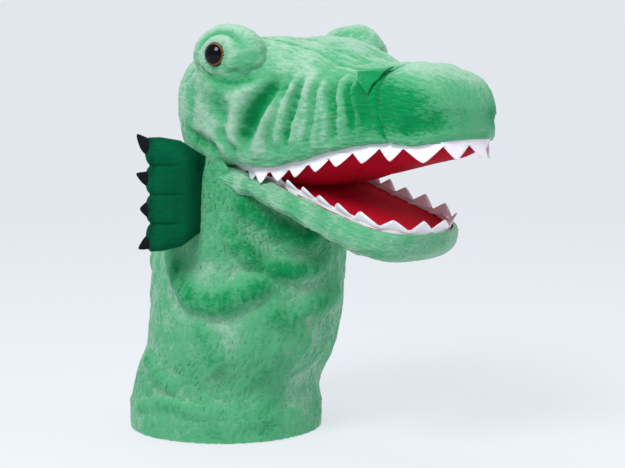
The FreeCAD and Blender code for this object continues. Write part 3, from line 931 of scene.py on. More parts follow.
# ---- sleeve and neck --------------------------------------------------------------------------
@dataclass
class Sleeve:
    """The round cloth body from the hem to the underside of head and jaw."""

    where: Layout
    paint: Painter
    middle: Keys = ((0, 0), (14, 0), (32, -2), (66, -18), (99, -23), (123, -25), (150, -31), (175, -39), (200, -44))
    across: Keys = ((0, 65.6), (14, 65.4), (32, 62.6), (66, 64), (99, 65.4), (123, 64.4), (150, 64), (175, 60),
                    (200, 54))
    deep: Keys = ((0, 65.6), (14, 65.4), (32, 62.6), (66, 64), (99, 65.4), (123, 64.4), (150, 58), (175, 48),
                  (200, 42))
    top: Keys = ((0, 169), (20, 169), (35, 172), (50, 177), (62, 186), (72, 194), (90, 202), (120, 206), (180, 206))
    seam: float = 8.0
    split: float = 128.0
    radius: float = 64.0
    cloth: float = 2.4
    bend_low: float = 84.0
    bend_high: float = 126.0
    folds: tuple[Fold, ...] = (
        Fold(ring_line((166, 140), (175, 126), (182, 114), (192, 101), (207, 97), (222, 104), (238, 112),
                       (252, 112)), 6.5, 6.0),
        Fold(ring_line((208, 156), (214, 147), (221, 137), (230, 128), (242, 122), (256, 119), (272, 121),
                       (284, 127)), 4.6, 5.0),
        Fold(ring_line((196, 130), (204, 122), (214, 120), (224, 126)), 7.0, -3.0, 0.0),
        Fold(ring_line((300, 104), (288, 100), (268, 95), (250, 85)), 6.5, 3.0),
        Fold(ring_line((300, 62), (292, 52), (280, 40), (268, 26), (265, 12)), 8.0, -2.6, 0.0),
        Fold(ring_line((150, 13), (168, 20), (190, 24), (214, 21), (232, 24)), 3.2, 2.2),
        Fold(ring_line((148, 58), (164, 50), (182, 40), (200, 34)), 4.6, 2.6),
        Fold(ring_line((192, 92), (203, 76), (212, 62), (216, 46)), 6.0, 2.6),
        Fold(ring_line((232, 98), (246, 90), (262, 76), (272, 60)), 6.0, 2.6),
        Fold(ring_line((228, 156), (244, 147), (262, 141), (280, 138)), 5.0, 3.4),
        Fold(ring_line((216, 172), (226, 160), (240, 152)), 4.0, 2.6),
        Fold(ring_line((96, 160), (104, 140), (120, 122), (140, 112)), 7.0, 4.0),
        Fold(ring_line((20, 130), (38, 112), (62, 104), (84, 110)), 8.0, 4.0),
        Fold(ring_line((-30, 118), (-12, 104), (4, 100), (14, 112)), 7.0, 4.0),
        Fold(ring_line((60, 70), (78, 50), (100, 40)), 8.0, 2.4),
        Fold(ring_line((322, 150), (330, 134), (344, 122), (356, 118)), 6.0, 3.6),
    )
    ripples: tuple[Ripple, ...] = (Ripple(3, 46, 0.8, (1.0, 1.4)), Ripple(5, 19, 0.28, (1.4, 1.0)))
    # Painted shading patches: deeper under the jaw and in hollows, paler where light falls on the sleeve; partly pile
    # direction.
    painted_shading_patches: tuple[PaintedShadingPatch, ...] = (
        PaintedShadingPatch((-66, -5, 60), 22, 0.5), PaintedShadingPatch((-40, -75, 40), 26, -0.3), PaintedShadingPatch((20, -75, 30), 16, 1.2),
        PaintedShadingPatch((-58, -60, 168), 14, 0.3), PaintedShadingPatch((-20, -84, 152), 16, -0.8), PaintedShadingPatch((0, -84, 146), 14, -0.6),
        PaintedShadingPatch((-40, -70, 160), 12, -0.6), PaintedShadingPatch((-64, -30, 14), 20, 0.5), PaintedShadingPatch((0, -85, 68), 20, 0.5),
        PaintedShadingPatch((-54, -56, 74), 16, 0.5), PaintedShadingPatch((30, -84, 90), 14, 0.5), PaintedShadingPatch((-10, -88, 106), 14, 0.7),
    )

    def surface(self, angle: Grid, height: Grid) -> Grid:
        """Smooth tube, without folds.

        Args:
            angle: Degrees round from +X.
            height: Millimetres above the rim.

        Returns:
            Points in millimetres.
        """
        a = np.radians(angle)
        x = along(height, self.across) * np.cos(a)
        y = along(height, self.middle) + along(height, self.deep) * np.sin(a)
        return np.stack([x, y, np.broadcast_to(height, x.shape)], axis=-1)

    def draped(self, angle: Grid, height: Grid) -> tuple[Grid, Grid]:
        """The tube with its folds.

        Args:
            angle: Degrees round from +X.
            height: Millimetres above the rim.

        Returns:
            Points and their colour values, with painted shade in the fold valleys and painted light on the ridges.
        """
        smooth = self.surface(angle, height)
        relief = np.zeros(angle.shape)
        for turn in (-360, 0, 360):
            run = (angle + turn) * DEGREE_RUN
            for fold in self.folds:
                relief += fold.relief(run, height)
        wrapped = np.radians(np.mod(angle, 360))
        mellow = 1 - 0.6 * (1 - eased(height, 4, 20))
        cosine, sine = np.cos(wrapped) * self.radius, np.sin(wrapped) * self.radius
        for ripple in self.ripples:
            relief += ripple.relief(cosine + height * 0.6, sine + height) * mellow
        bunch = Ripple(17, 22, 0.9, (1.0, 2.6)).relief(cosine * 1.3 + sine, height)
        relief += bunch * eased(height, 100, 135)
        relief -= 0.35 * np.exp(-((height - self.where.hem_height) / 0.9) ** 2)
        normal = grid_normals(smooth)
        points = smooth + normal * relief[..., None]
        # Painted shade: colour follows the fold relief, deep in the valleys and pale on the ridges.
        nap = 1.35 * np.tanh(relief / 3.6)
        for tint in self.painted_shading_patches:
            nap = nap + tint.at(points)
        return points, nap

    def panel(self, name: str, start: float, end: float, rows: np.ndarray, cols: int) -> bpy.types.Object:
        """One cloth panel between two angles.

        Args:
            name: The piece's name.
            start: First angle in degrees.
            end: Last angle.
            rows: Share of the way up of each row, 0 at the rim, 1 at the split, 2 at the top edge.
            cols: How many columns.

        Returns:
            The panel.
        """
        angle = np.broadcast_to(np.linspace(start, end, cols), (len(rows), cols))
        crest = along(np.abs(np.mod(angle - 270 + 180, 360) - 180), self.top)
        low = self.where.hem_height * 0.04
        share = rows[:, None]
        height = np.where(share <= 1, low + (self.split - low) * share,
                          self.split + (crest - self.split) * (share - 1))
        points, nap = self.draped(angle, height)
        points, nap = with_pile(points, nap, grid_normals(points), 501 + int(abs(start)) + len(rows), 0.42)
        return cloth_shell(name, points, nap, self.cloth, self.paint.finish[Slot.GREEN])

    def hem(self) -> bpy.types.Object:
        """The turned band at the cuff, a flat ring inside the cloth's edge."""
        radius, height = self.where.hem_radius, self.where.hem_height
        turn = np.linspace(0, math.tau, 180, endpoint=False)
        section = np.array([(radius - 2.9, 0.6), (radius - 3.0, height - 0.8), (radius - 3.6, height),
                            (radius - 4.4, height - 0.8), (radius - 4.6, 6), (radius - 4.5, 1.0),
                            (radius - 3.7, 0.0)])
        wave = 1 + 0.004 * np.sin(turn * 9)
        points = np.zeros((len(turn), len(section), 3))
        for k, (r, z) in enumerate(section):
            points[:, k] = np.stack([r * wave * np.cos(turn), r * wave * np.sin(turn), np.full(len(turn), z)], -1)
        maker = MeshMaker()
        maker.add_grid(points, np.zeros(points.shape[:2]), (True, True), flip=True)
        return maker.build("cuff_hem_band", self.paint.finish[Slot.GREEN])

    def hem_stitches(self) -> bpy.types.Object:
        """Short running stitches round the top of the hem."""
        places = []
        count = 84
        for i in range(count):
            angle = 360 * (i + 0.5) / count
            here, _ = self.draped(np.array([[angle - 0.4, angle, angle + 0.4]] * 3),
                                  np.array([[self.where.hem_height - 0.2] * 3, [self.where.hem_height] * 3,
                                            [self.where.hem_height + 0.2] * 3]))
            centre = Vector(here[1, 1])
            ahead = Vector(here[1, 2] - here[1, 0]).normalized()
            out = Vector((math.cos(math.radians(angle)), math.sin(math.radians(angle)), 0))
            places.append((centre + out * 0.1, frame_turn(ahead, out, ahead.cross(out)), (2.6, 0.5, 0.5)))
        return repeated("hem_stitches", bead("stitch_shape"), places, self.paint.finish[Slot.GREEN], 11)

    def build(self) -> None:
        """Make the panels, the hem and the stitches."""
        back, front = (-self.seam, 180 + self.seam), (180 + self.seam, 360 - self.seam)
        low_rows = np.linspace(0, 1, 150)
        top_rows = np.linspace(1, 2, 84)
        mid = along(self.split, self.middle)
        for name, (start, end), node in (("sleeve_front_cloth", front, "sleeve_front_panel"),
                                         ("sleeve_back_cloth", back, "sleeve_back_panel")):
            piece = self.panel(name, start, end, low_rows, 210)
            self.paint.bend(piece, Slot.GREEN, ("sleeve", "neck"), (0, mid, self.bend_low),
                            (0, mid, self.bend_high), node)
        band = self.paint.settle(self.hem(), Slot.GREEN, "sleeve", "cuff_hem")
        self.paint.settle(self.hem_stitches(), Slot.GREEN, "sleeve")
        throat = self.panel("throat_cloth", *front, top_rows, 230)
        self.paint.bend(throat, Slot.GREEN, ("neck", "lower_jaw"), (0, -84, 132), (0, -74, 166), "throat_panel")
        nape = self.panel("nape_cloth", *back, top_rows, 230)
        self.paint.bend(nape, Slot.GREEN, ("neck", "head"), (0, -20, 140), (0, -20, 196), "nape_panel")


def bead(name: str) -> bpy.types.Object:
    """A small rounded bar, one unit across each way, along X."""
    turn = np.linspace(0, math.tau, 8, endpoint=False)
    rows = []
    for x in (-0.5, -0.42, -0.2, 0.2, 0.42, 0.5):
        r = 0.5 * math.sqrt(max(1 - (2 * x) ** 4, 0.0004))
        rows.append(np.stack([np.full(8, x), r * np.cos(turn), r * np.sin(turn)], -1))
    maker = MeshMaker()
    maker.add_grid(np.stack(rows), np.zeros((6, 8)), (False, True))
    return maker.build(name, bpy.data.materials["green_plush"])


# ---- the two jaws -----------------------------------------------------------------------------
@dataclass
class ArchLoft:
    """A half shell over a long opening: its section is an arch that curls under to a lip on each side."""

    wide: Keys
    tuck: Keys
    lip: Keys
    belly: Keys
    apex: Keys
    back: float
    front: float
    front_cap: float
    back_cap: float
    cap_power: float = 2.5
    arch_power: Keys = ((0, 2.4), (1, 2.4))
    curl_power: float = 2.6
    curl_share: float = 0.13
    back_power: float = 2.2

    def half_width(self, f: Grid) -> Grid:
        """Widest half-width at each place along the loft."""
        ahead = np.clip((f - self.front_cap) / (self.front - self.front_cap), 0, 1)
        behind = np.clip((self.back_cap - f) / (self.back_cap - self.back), 0, 1)
        power = self.cap_power
        return along(f, self.wide) * (1 - ahead ** power) ** (1 / power) \
            * (1 - behind ** self.back_power) ** (1 / self.back_power)

    def lip_half_width(self, f: Grid) -> Grid:
        """Half-width at the lip."""
        wide = self.half_width(f)
        return np.maximum(wide - along(f, self.tuck), wide * 0.25)

    def section(self, f: Grid, v: Grid) -> tuple[Grid, Grid]:
        """Place across and height of points of the loft.

        Args:
            f: Distance ahead of the fold.
            v: Way over the arch, 0 at the left lip and 1 at the right lip.

        Returns:
            Across and height, in millimetres.
        """
        side = np.where(v <= 0.5, 1.0, -1.0)
        v = np.where(v <= 0.5, v, 1 - v)
        wide, lip_wide = self.half_width(f), self.lip_half_width(f)
        lip, belly, apex = along(f, self.lip), along(f, self.belly), along(f, self.apex)
        low = v < self.curl_share
        a = np.where(low, (1 - v / self.curl_share), (v - self.curl_share) / (0.5 - self.curl_share)) * math.pi / 2
        power = np.where(low, self.curl_power, along(f, self.arch_power))
        r = (np.abs(np.cos(a)) ** power + np.abs(np.sin(a)) ** power) ** (-1 / power)
        across, rise = r * np.cos(a), r * np.sin(a)
        x = np.where(low, lip_wide + (wide - lip_wide) * across, wide * across)
        h = np.where(low, belly + (lip - belly) * rise, belly + (apex - belly) * rise)
        return x * side, h


def capped_stations(loft: ArchLoft, count: int) -> np.ndarray:
    """Places along a loft, closer together where its ends round off."""
    t = np.linspace(0, 1, 400)
    f = loft.back + (loft.front - loft.back) * t
    ahead = np.clip((f - loft.front_cap) / (loft.front - loft.front_cap), 0, 1)
    behind = np.clip((loft.back_cap - f) / (loft.back_cap - loft.back), 0, 1)
    density = 1 + 7 * ahead ** 6 + 7 * behind ** 6
    total = np.concatenate([[0], np.cumsum((density[1:] + density[:-1]) / 2)])
    return np.interp(np.linspace(0, total[-1], count), total, f)


def even_line(points: np.ndarray, count: int) -> np.ndarray:
    """Resample a line at even spacing."""
    length = np.concatenate([[0], np.cumsum(np.linalg.norm(np.diff(points, axis=0), axis=1))])
    even = np.linspace(0, length[-1], count)
    return np.stack([np.interp(even, length, points[:, k]) for k in range(3)], axis=1)


def lip_round(loft: ArchLoft, placed: Callable[[Grid, Grid, Grid], Grid], first: float, count: int) -> np.ndarray:
    """A jaw's lip from its left corner round the tip to the right corner, evenly spaced.

    Args:
        loft: The jaw's loft.
        placed: Turns place across, along and up into points.
        first: Where along the jaw the line starts.
        count: How many points.

    Returns:
        The line's points.
    """
    f = np.concatenate([np.linspace(first, loft.front_cap, 60),
                        loft.front_cap + (loft.front - loft.front_cap) * np.sin(np.linspace(0.02, math.pi / 2, 80))])
    x, h = loft.section(f, np.zeros(len(f)))
    left = placed(x, f, h)
    right = left[::-1][1:] * np.array([-1, 1, 1])
    return even_line(np.concatenate([left, right]), count)


@dataclass
class Head:
    """Crown, cheeks, nose, brows, eyes, nostrils, upper teeth and palate."""

    where: Layout
    paint: Painter
    loft: ArchLoft = field(default_factory=lambda: ArchLoft(
        wide=((-61, 60), (-30, 63), (0, 63.5), (20, 62.5), (36, 59.5), (48, 56), (64, 54), (80, 52), (100, 49.5),
              (118, 47), (130, 45), (142, 46), (166, 45)),
        tuck=((-61, 26), (-20, 21), (0, 18), (20, 15), (30, 10), (80, 8), (110, 6), (135, 4.5), (166, 4)),
        lip=((-61, 202), (-40, 194), (-20, 188), (-5, 188.5), (2, 190.5), (36, 191), (64, 195.9), (88, 202.6),
             (112, 207.2), (138, 210.6), (152, 210), (166, 212)),
        belly=((-61, 228), (-40, 226), (-20, 222), (0, 219), (30, 217), (60, 217), (90, 222), (115, 226),
               (135, 225), (150, 224), (166, 224)),
        apex=((-61, 243), (-54, 256), (-40, 265), (-24, 270.5), (-8, 273.4), (8, 274.6), (46, 274), (60, 271.5),
              (74, 266), (84, 261.5), (94, 259), (106, 258.2), (122, 257.8), (136, 256.2), (148, 252.6),
              (156, 248.5), (161, 243), (164, 237), (166, 230)),
        back=-61, front=166, front_cap=124, back_cap=6, cap_power=2.7, back_power=3.4,
        arch_power=((-57, 2.6), (-20, 3.4), (20, 3.5), (50, 2.7), (100, 2.3), (130, 2.5), (166, 2.6))))
    crown_share: float = 0.37
    nose_at: float = 131.0
    cloth: float = 2.4
    brow_drop: float = 11.0
    brow_lift: float = 13.0
    brow_reach: float = 24.0
    gather: float = 1.35
    eye_turn: float = 74.0
    eye_radius: float = 8.0
    eye_sink: float = 1.4
    eye_profile: Keys = ((0.0, 5.4), (1.2, 5.35), (2.6, 5.1), (4.0, 4.6), (5.2, 4.0), (6.1, 3.35), (6.9, 2.6),
                         (7.5, 1.8), (7.9, 0.9), (8.0, 0.2), (7.8, -0.4), (2.6, -0.6), (2.4, -0.8), (2.4, -13),
                         (0, -13.2))
    mound_size: tuple[float, float, float] = (20.0, 29.0, 22.0)
    mound_size_below: tuple[float, float, float] = (20.0, 29.0, 15.0)
    nostril_corners: Keys = ((103, 251.5), (124, 255.0), (122, 239.0))
    palate_sag: Keys = ((0, 1), (8, 7), (24, 14), (60, 18), (100, 19), (130, 17), (148, 13), (156, 8), (161, 2))
    palate_length: float = 159.0
    lip_gap: float = 1.6
    cheek_folds: tuple[Fold, ...] = (
        Fold(((52, 253), (49, 244), (42, 233), (34, 220), (28, 206), (27, 198)), 5.2, 5.2, 0.5),
        Fold(((60, 254), (57, 242), (53, 230), (47, 214), (45, 202)), 2.6, 2.0),
        Fold(((69, 254), (67, 240), (64, 226), (59, 210), (58, 200)), 2.8, 2.6),
        Fold(((78, 254), (79, 240), (80, 226), (76, 210), (74, 200)), 2.6, 2.0),
        Fold(((88, 253), (92, 240), (97, 226), (97, 213), (94, 205)), 3.2, 2.8),
        Fold(((99, 252), (105, 240), (111, 227), (112, 215)), 2.8, 1.9),
        Fold(((108, 252), (115, 240), (121, 228), (123, 218)), 2.8, 2.0),
        Fold(((18, 246), (13, 232), (11, 216), (14, 204)), 6.0, 1.5),
        Fold(((-14, 244), (-20, 228), (-20, 212)), 6.0, 1.6),
        Fold(((2, 249), (20, 244), (34, 246), (46, 250)), 3.6, 2.2),
        Fold(((4, 214), (14, 206), (20, 198)), 4.0, 1.8),
        Fold(((-30, 216), (-18, 208), (-4, 204), (8, 198)), 4.0, 2.0),
    )
    nose_folds: tuple[Fold, ...] = (
        Fold(((134, 246), (139, 234), (141, 220)), 3.0, 1.4),
        Fold(((158, 226), (152, 219), (146, 214)), 4.0, 1.4),
        Fold(((163, 232), (162, 222), (160, 214)), 3.0, 1.2),
    )
    # Painted shading patches: paler on the crown, the nose top and parts of the cheeks where light falls, deeper on the
    # nose sides and under the nose tip; partly pile direction.
    painted_shading_patches: tuple[PaintedShadingPatch, ...] = (
        *both((54, -98, 232), 15, -0.9), *both((46, -182, 236), 21, -3.0), *both((40, -204, 230), 17, -3.0),
        PaintedShadingPatch((-10, -214, 226), 20, -0.7), PaintedShadingPatch((0, -200, 256), 22, 0.35), PaintedShadingPatch((0, -85, 274), 48, 0.7),
        *both((30, -110, 262), 22, 0.6), *both((58, -40, 238), 22, 0.55), *both((56, -70, 206), 18, 0.35),
        *both((42, -168, 248), 12, -0.8), *both((46, -150, 226), 14, 0.35), *both((56, -75, 238), 12, -0.3),
    )

    def placed(self, x: Grid, f: Grid, h: Grid) -> Grid:
        """Points from place across, distance ahead of the fold and height."""
        return np.stack([x, self.where.fold_y - f, h], axis=-1)

    def seam_shift(self, v: Grid) -> Grid:
        """How far ahead of its middle place the nose seam lies at each way over the arch."""
        return along(np.abs(v - 0.5), ((0, -9), (0.2, -6), (0.35, 0), (0.5, 7)))

    def surface(self) -> tuple[Grid, Grid, np.ndarray, np.ndarray]:
        """The whole outside of the head with folds.

        Returns:
            Points, colour values with painted shade in folds and painted light on ridges, distance of each row and way
            over of each column.
        """
        rows = capped_stations(self.loft, 300)
        seam_row = int(np.argmin(np.abs(rows - self.nose_at)))
        rows[seam_row] = self.nose_at
        cols = np.linspace(0, 1, 281)
        bend = np.exp(-((rows - self.nose_at) / 26) ** 2) * (1 - eased(rows, 142, 158))
        f = rows[:, None] + bend[:, None] * self.seam_shift(cols)[None, :]
        f = np.clip(f, self.loft.back, self.loft.front)
        v = np.broadcast_to(cols, f.shape)
        x, h = self.loft.section(f, v)
        smooth = self.placed(x, f, h)
        relief = np.zeros(f.shape)
        side = eased(np.abs(v - 0.5), 0.06, 0.17)
        seam_gap = (rows[:, None] - self.nose_at)
        behind = 1 - eased(seam_gap, -3, 0)
        for fold in self.cheek_folds:
            relief += self.gather * fold.relief(f, h) * side * behind
        for fold in self.nose_folds:
            relief += fold.relief(f, h) * side * (1 - behind)
        relief += 2.0 * np.exp(-((seam_gap - 13) / 11) ** 2) * eased(seam_gap, 0, 6)
        relief -= 1.9 * np.exp(-(seam_gap / 1.3) ** 2)
        for edge in (self.crown_share, 1 - self.crown_share):
            gap = (v - edge) * 190
            seam = eased(rows[:, None], -30, 10) * (1 - eased(seam_gap, -6, 0))
            relief -= 1.3 * np.exp(-(gap / 1.5) ** 2) * seam
        centre = eased(f, 30, 60) * (1 - eased(f, 100, 130))
        relief -= 1.4 * np.exp(-((np.abs(x) - 15) / 9) ** 2) * centre
        calm = 1 - eased(f, 140, 162)
        relief += (Ripple(21, 34, 0.7).relief(x + f, h) + Ripple(23, 13, 0.25).relief(f - x, h)) * calm
        low_brow = np.array(self.where.mound) - np.array([0, 0, self.brow_drop])
        bulk = np.zeros(f.shape)
        for way in (-1, 1):
            gap = np.linalg.norm(smooth - low_brow * np.array([way, 1, 1]), axis=-1)
            bulk += self.brow_lift * np.exp(-(gap / self.brow_reach) ** 2)
        relief += bulk
        normal = -grid_normals(smooth)
        points = smooth + normal * relief[..., None]
        # Painted shade: colour follows the fold relief, without the brows' bulk: deep in valleys and seams, pale on
        # ridges.
        nap = 0.25 + 1.6 * np.tanh((relief - bulk) / 2.4)
        for tint in self.painted_shading_patches:
            nap = nap + tint.at(points)
        points, nap = with_pile(points, nap, normal * (1 - 0.9 * eased(f, 150, 163))[..., None], 201, 0.45)
        return points, nap, rows, cols

    def shells(self) -> None:
        """Cut the surface along its seams into cheeks, crown and nose."""
        points, nap, rows, cols = self.surface()
        seam = int(np.argmin(np.abs(rows - self.nose_at)))
        left = int(np.argmin(np.abs(cols - self.crown_share)))
        right = len(cols) - 1 - left
        green = self.paint.finish[Slot.GREEN]
        nodes = {"cheek_left_cloth": ("cheek_panel_left",), "crown_cloth": ("crown_panel", "crown_stuffing"),
                 "cheek_right_cloth": ("cheek_panel_right",)}
        for name, (a, b) in (("cheek_left_cloth", (0, left)), ("crown_cloth", (left, right)),
                             ("cheek_right_cloth", (right, len(cols) - 1))):
            part = cloth_shell(name, points[:seam + 1, a:b + 1], nap[:seam + 1, a:b + 1], self.cloth, green,
                               outward=False)
            self.paint.settle(part, Slot.GREEN, "head", *nodes[name])
        nose = cloth_shell("nose_cloth", points[seam:], nap[seam:], self.cloth, green, outward=False, tip=True)
        self.paint.settle(nose, Slot.GREEN, "head", "nose_panel", "nose_stuffing")

    def nostril(self, side: Side) -> None:
        """A flat leaf of plush tucked in behind the nose seam."""
        corners = np.array(self.nostril_corners, float)
        rows, cols = 22, 22
        a, b = np.meshgrid(np.linspace(0.02, 1, rows), np.linspace(0, 1, cols), indexing="ij")
        f = corners[0, 0] * (1 - a) + a * (corners[1, 0] * (1 - b) + corners[2, 0] * b)
        h = corners[0, 1] * (1 - a) + a * (corners[1, 1] * (1 - b) + corners[2, 1] * b)
        way = np.linspace(self.loft.curl_share, 0.5, 200)
        place = np.zeros(f.shape)
        for i in range(rows):
            for j in range(cols):
                _, heights = self.loft.section(np.full(200, f[i, j]), way)
                place[i, j] = np.interp(h[i, j], heights, way)
        x, height = self.loft.section(f, place)
        smooth = self.placed(x, f, height)
        normal = grid_normals(smooth)
        if normal[..., 0].mean() < 0:
            normal = -normal
        bulge = 1.6 - 1.8 * np.exp(-((b - 0.42) / 0.16) ** 2) * a + 0.8 * np.sin(b * math.pi)
        points = smooth + normal * bulge[..., None]
        points[..., 0] *= side.value
        # Painted shade: the tuck is coloured deep, deepest along its middle crease, as a shaded hollow.
        value = np.broadcast_to(-2.0 - 0.5 * np.exp(-((b - 0.42) / 0.2) ** 2), a.shape)
        piece = cloth_shell("nostril_" + side.word + "_tuck", points, value, 1.2, self.paint.finish[Slot.GREEN],
                            outward=self.faces_out(points, side))
        self.paint.settle(piece, Slot.GREEN, "head", "nostril_" + side.word)

    @staticmethod
    def faces_out(points: Grid, side: Side) -> bool:
        """Whether a side patch's du x dv points away from the head's middle."""
        return bool((grid_normals(points)[..., 0].mean() * side.value) > 0)

    def eye_way(self, side: Side) -> Vector:
        """The direction that an eye looks."""
        turn = math.radians(self.eye_turn)
        return Vector((side.value * math.sin(turn), -math.cos(turn), 0.05)).normalized()

    def mound(self, side: Side) -> None:
        """A padded brow with an eyelid roll, a ball whose pole lies under the eye."""
        out = self.eye_way(side)
        up = Vector((0, 0, 1))
        across = up.cross(out).normalized()
        up = out.cross(across)
        lat = np.linspace(0.0, math.pi, 90)[:, None]
        lon = np.linspace(0, math.tau, 150, endpoint=False)[None, :]
        o, r = np.cos(lat) + 0 * lon, np.sin(lat) + 0 * lon
        s, t = np.cos(lon) + 0 * lat, np.sin(lon) + 0 * lat
        direction = (o[..., None] * np.array(out) + (r * s)[..., None] * np.array(across)
                     + (r * t)[..., None] * np.array(up))
        size = np.where(((r * t) < 0)[..., None], np.array(self.mound_size_below), np.array(self.mound_size))
        radius = 1 / np.linalg.norm(direction / size, axis=-1)
        run = lat * 21 + 0 * lon
        above = np.clip(t, 0, 1)
        relief = 1.8 * np.exp(-((run - 12) / 3.2) ** 2) * (0.35 + 0.9 * above)
        relief -= 2.4 * np.exp(-((run - 18.5) / 2.0) ** 2) * eased(t, 0.1, 0.7)
        relief -= 1.5 * np.exp(-((run - 16) / 2.4) ** 2) * eased(-t, 0.1, 0.7)
        relief += 1.5 * np.exp(-((run - 26) / 6.0) ** 2) * above
        relief += Ripple(31 + side.value, 22, 0.3).relief(run * s, run * t)
        centre = np.array(self.where.mound) * np.array([side.value, 1, 1]) + np.array([side.value * -0.5, 0, -2.5])
        points = centre + direction * (radius + relief)[..., None]
        # Painted shade: colour follows the relief, deep in the lid creases and pale on the rolls, and deeper again on
        # the lower flank, as shade under the brow.
        nap = np.clip(relief / 1.6, -1.8, 1.2) + 0.6
        nap = nap - 0.9 * eased(-t, 0.0, 1.0) * np.exp(-((run - 24) / 8) ** 2)
        points, nap = with_pile(points, nap, direction, 301 + side.value, 0.35, True)
        maker = MeshMaker()
        maker.add_grid(points, nap, (False, True))
        piece = maker.build("eye_mound_" + side.word + "_pad", self.paint.finish[Slot.GREEN], weld=True)
        self.paint.settle(piece, Slot.GREEN, "head", "eye_mound_" + side.word)

    def eye(self, side: Side) -> None:
        """A domed eye with a stem, seated in its brow."""
        out = self.eye_way(side)
        centre = self.where.mound.copy()
        centre.x *= side.value
        seat = centre + out * (self.where.mound_radius - self.eye_sink)
        across = Vector((0, 0, 1)).cross(out).normalized()
        up = out.cross(across)
        turn = np.linspace(0, math.tau, 48, endpoint=False)
        points = np.zeros((len(self.eye_profile), 48, 3))
        value = np.zeros((len(self.eye_profile), 48))
        for i, (r, h) in enumerate(self.eye_profile):
            base = np.array(seat + out * h)
            points[i] = base + r * (np.cos(turn)[:, None] * np.array(across) + np.sin(turn)[:, None] * np.array(up))
            value[i] = r / self.eye_radius if h > -0.5 else 1.0
        maker = MeshMaker()
        maker.add_grid(points, value, (False, True))
        piece = maker.build("eye_" + side.word + "_dome", self.paint.finish[Slot.EYE], weld=True)
        self.paint.settle(piece, Slot.EYE, "head", "eye_" + side.word)

    def palate(self) -> None:
        """The padded red roof of the mouth."""
        rows = 2 + self.palate_length * np.sin(np.linspace(0, math.pi / 2, 120))
        cols = np.linspace(-1, 1, 91)
        f = np.broadcast_to(rows[:, None], (len(rows), len(cols)))
        s = np.broadcast_to(cols[None, :], f.shape)
        half = np.maximum(self.loft.lip_half_width(f) - self.lip_gap, 0.5)
        lip = along(f, self.loft.lip)
        hang = along(f, self.palate_sag) * (1 - np.abs(s) ** 3.2) ** 0.8
        hang = hang + Ripple(41, 30, 0.5).relief(s * half, f) * (1 - s * s)
        low = self.placed(s * half, f, lip + 1.5 - hang)
        high = self.placed(s * half, f, lip + 3.5 + 0 * s)
        maker = MeshMaker()
        # Painted shade: the roof is coloured deeper towards the back of the mouth.
        value = 0.2 - 0.9 * (1 - eased(f, 5, 60))
        under = maker.add_grid(low, value, flip=True)
        over = maker.add_grid(high, value)
        maker.close_rims(under, over)
        piece = maker.build("palate_pad", self.paint.finish[Slot.RED])
        self.paint.settle(piece, Slot.RED, "head", "palate_lining")

    def build(self) -> None:
        """Make every piece of the head."""
        self.shells()
        for side in Side:
            self.mound(side)
            self.eye(side)
            self.nostril(side)
        self.palate()
        teeth = Teeth(self.paint, "upper", lip_round(self.loft, self.placed, 3, 400), -1.0,
                      pitch=((0, 11), (60, 15), (110, 21), (170, 23)),
                      height=((0, 5), (14, 8), (60, 6.5), (110, 7.5), (170, 9)))
        piece = teeth.build()
        self.paint.settle(piece, Slot.FELT, "head", "upper_teeth")


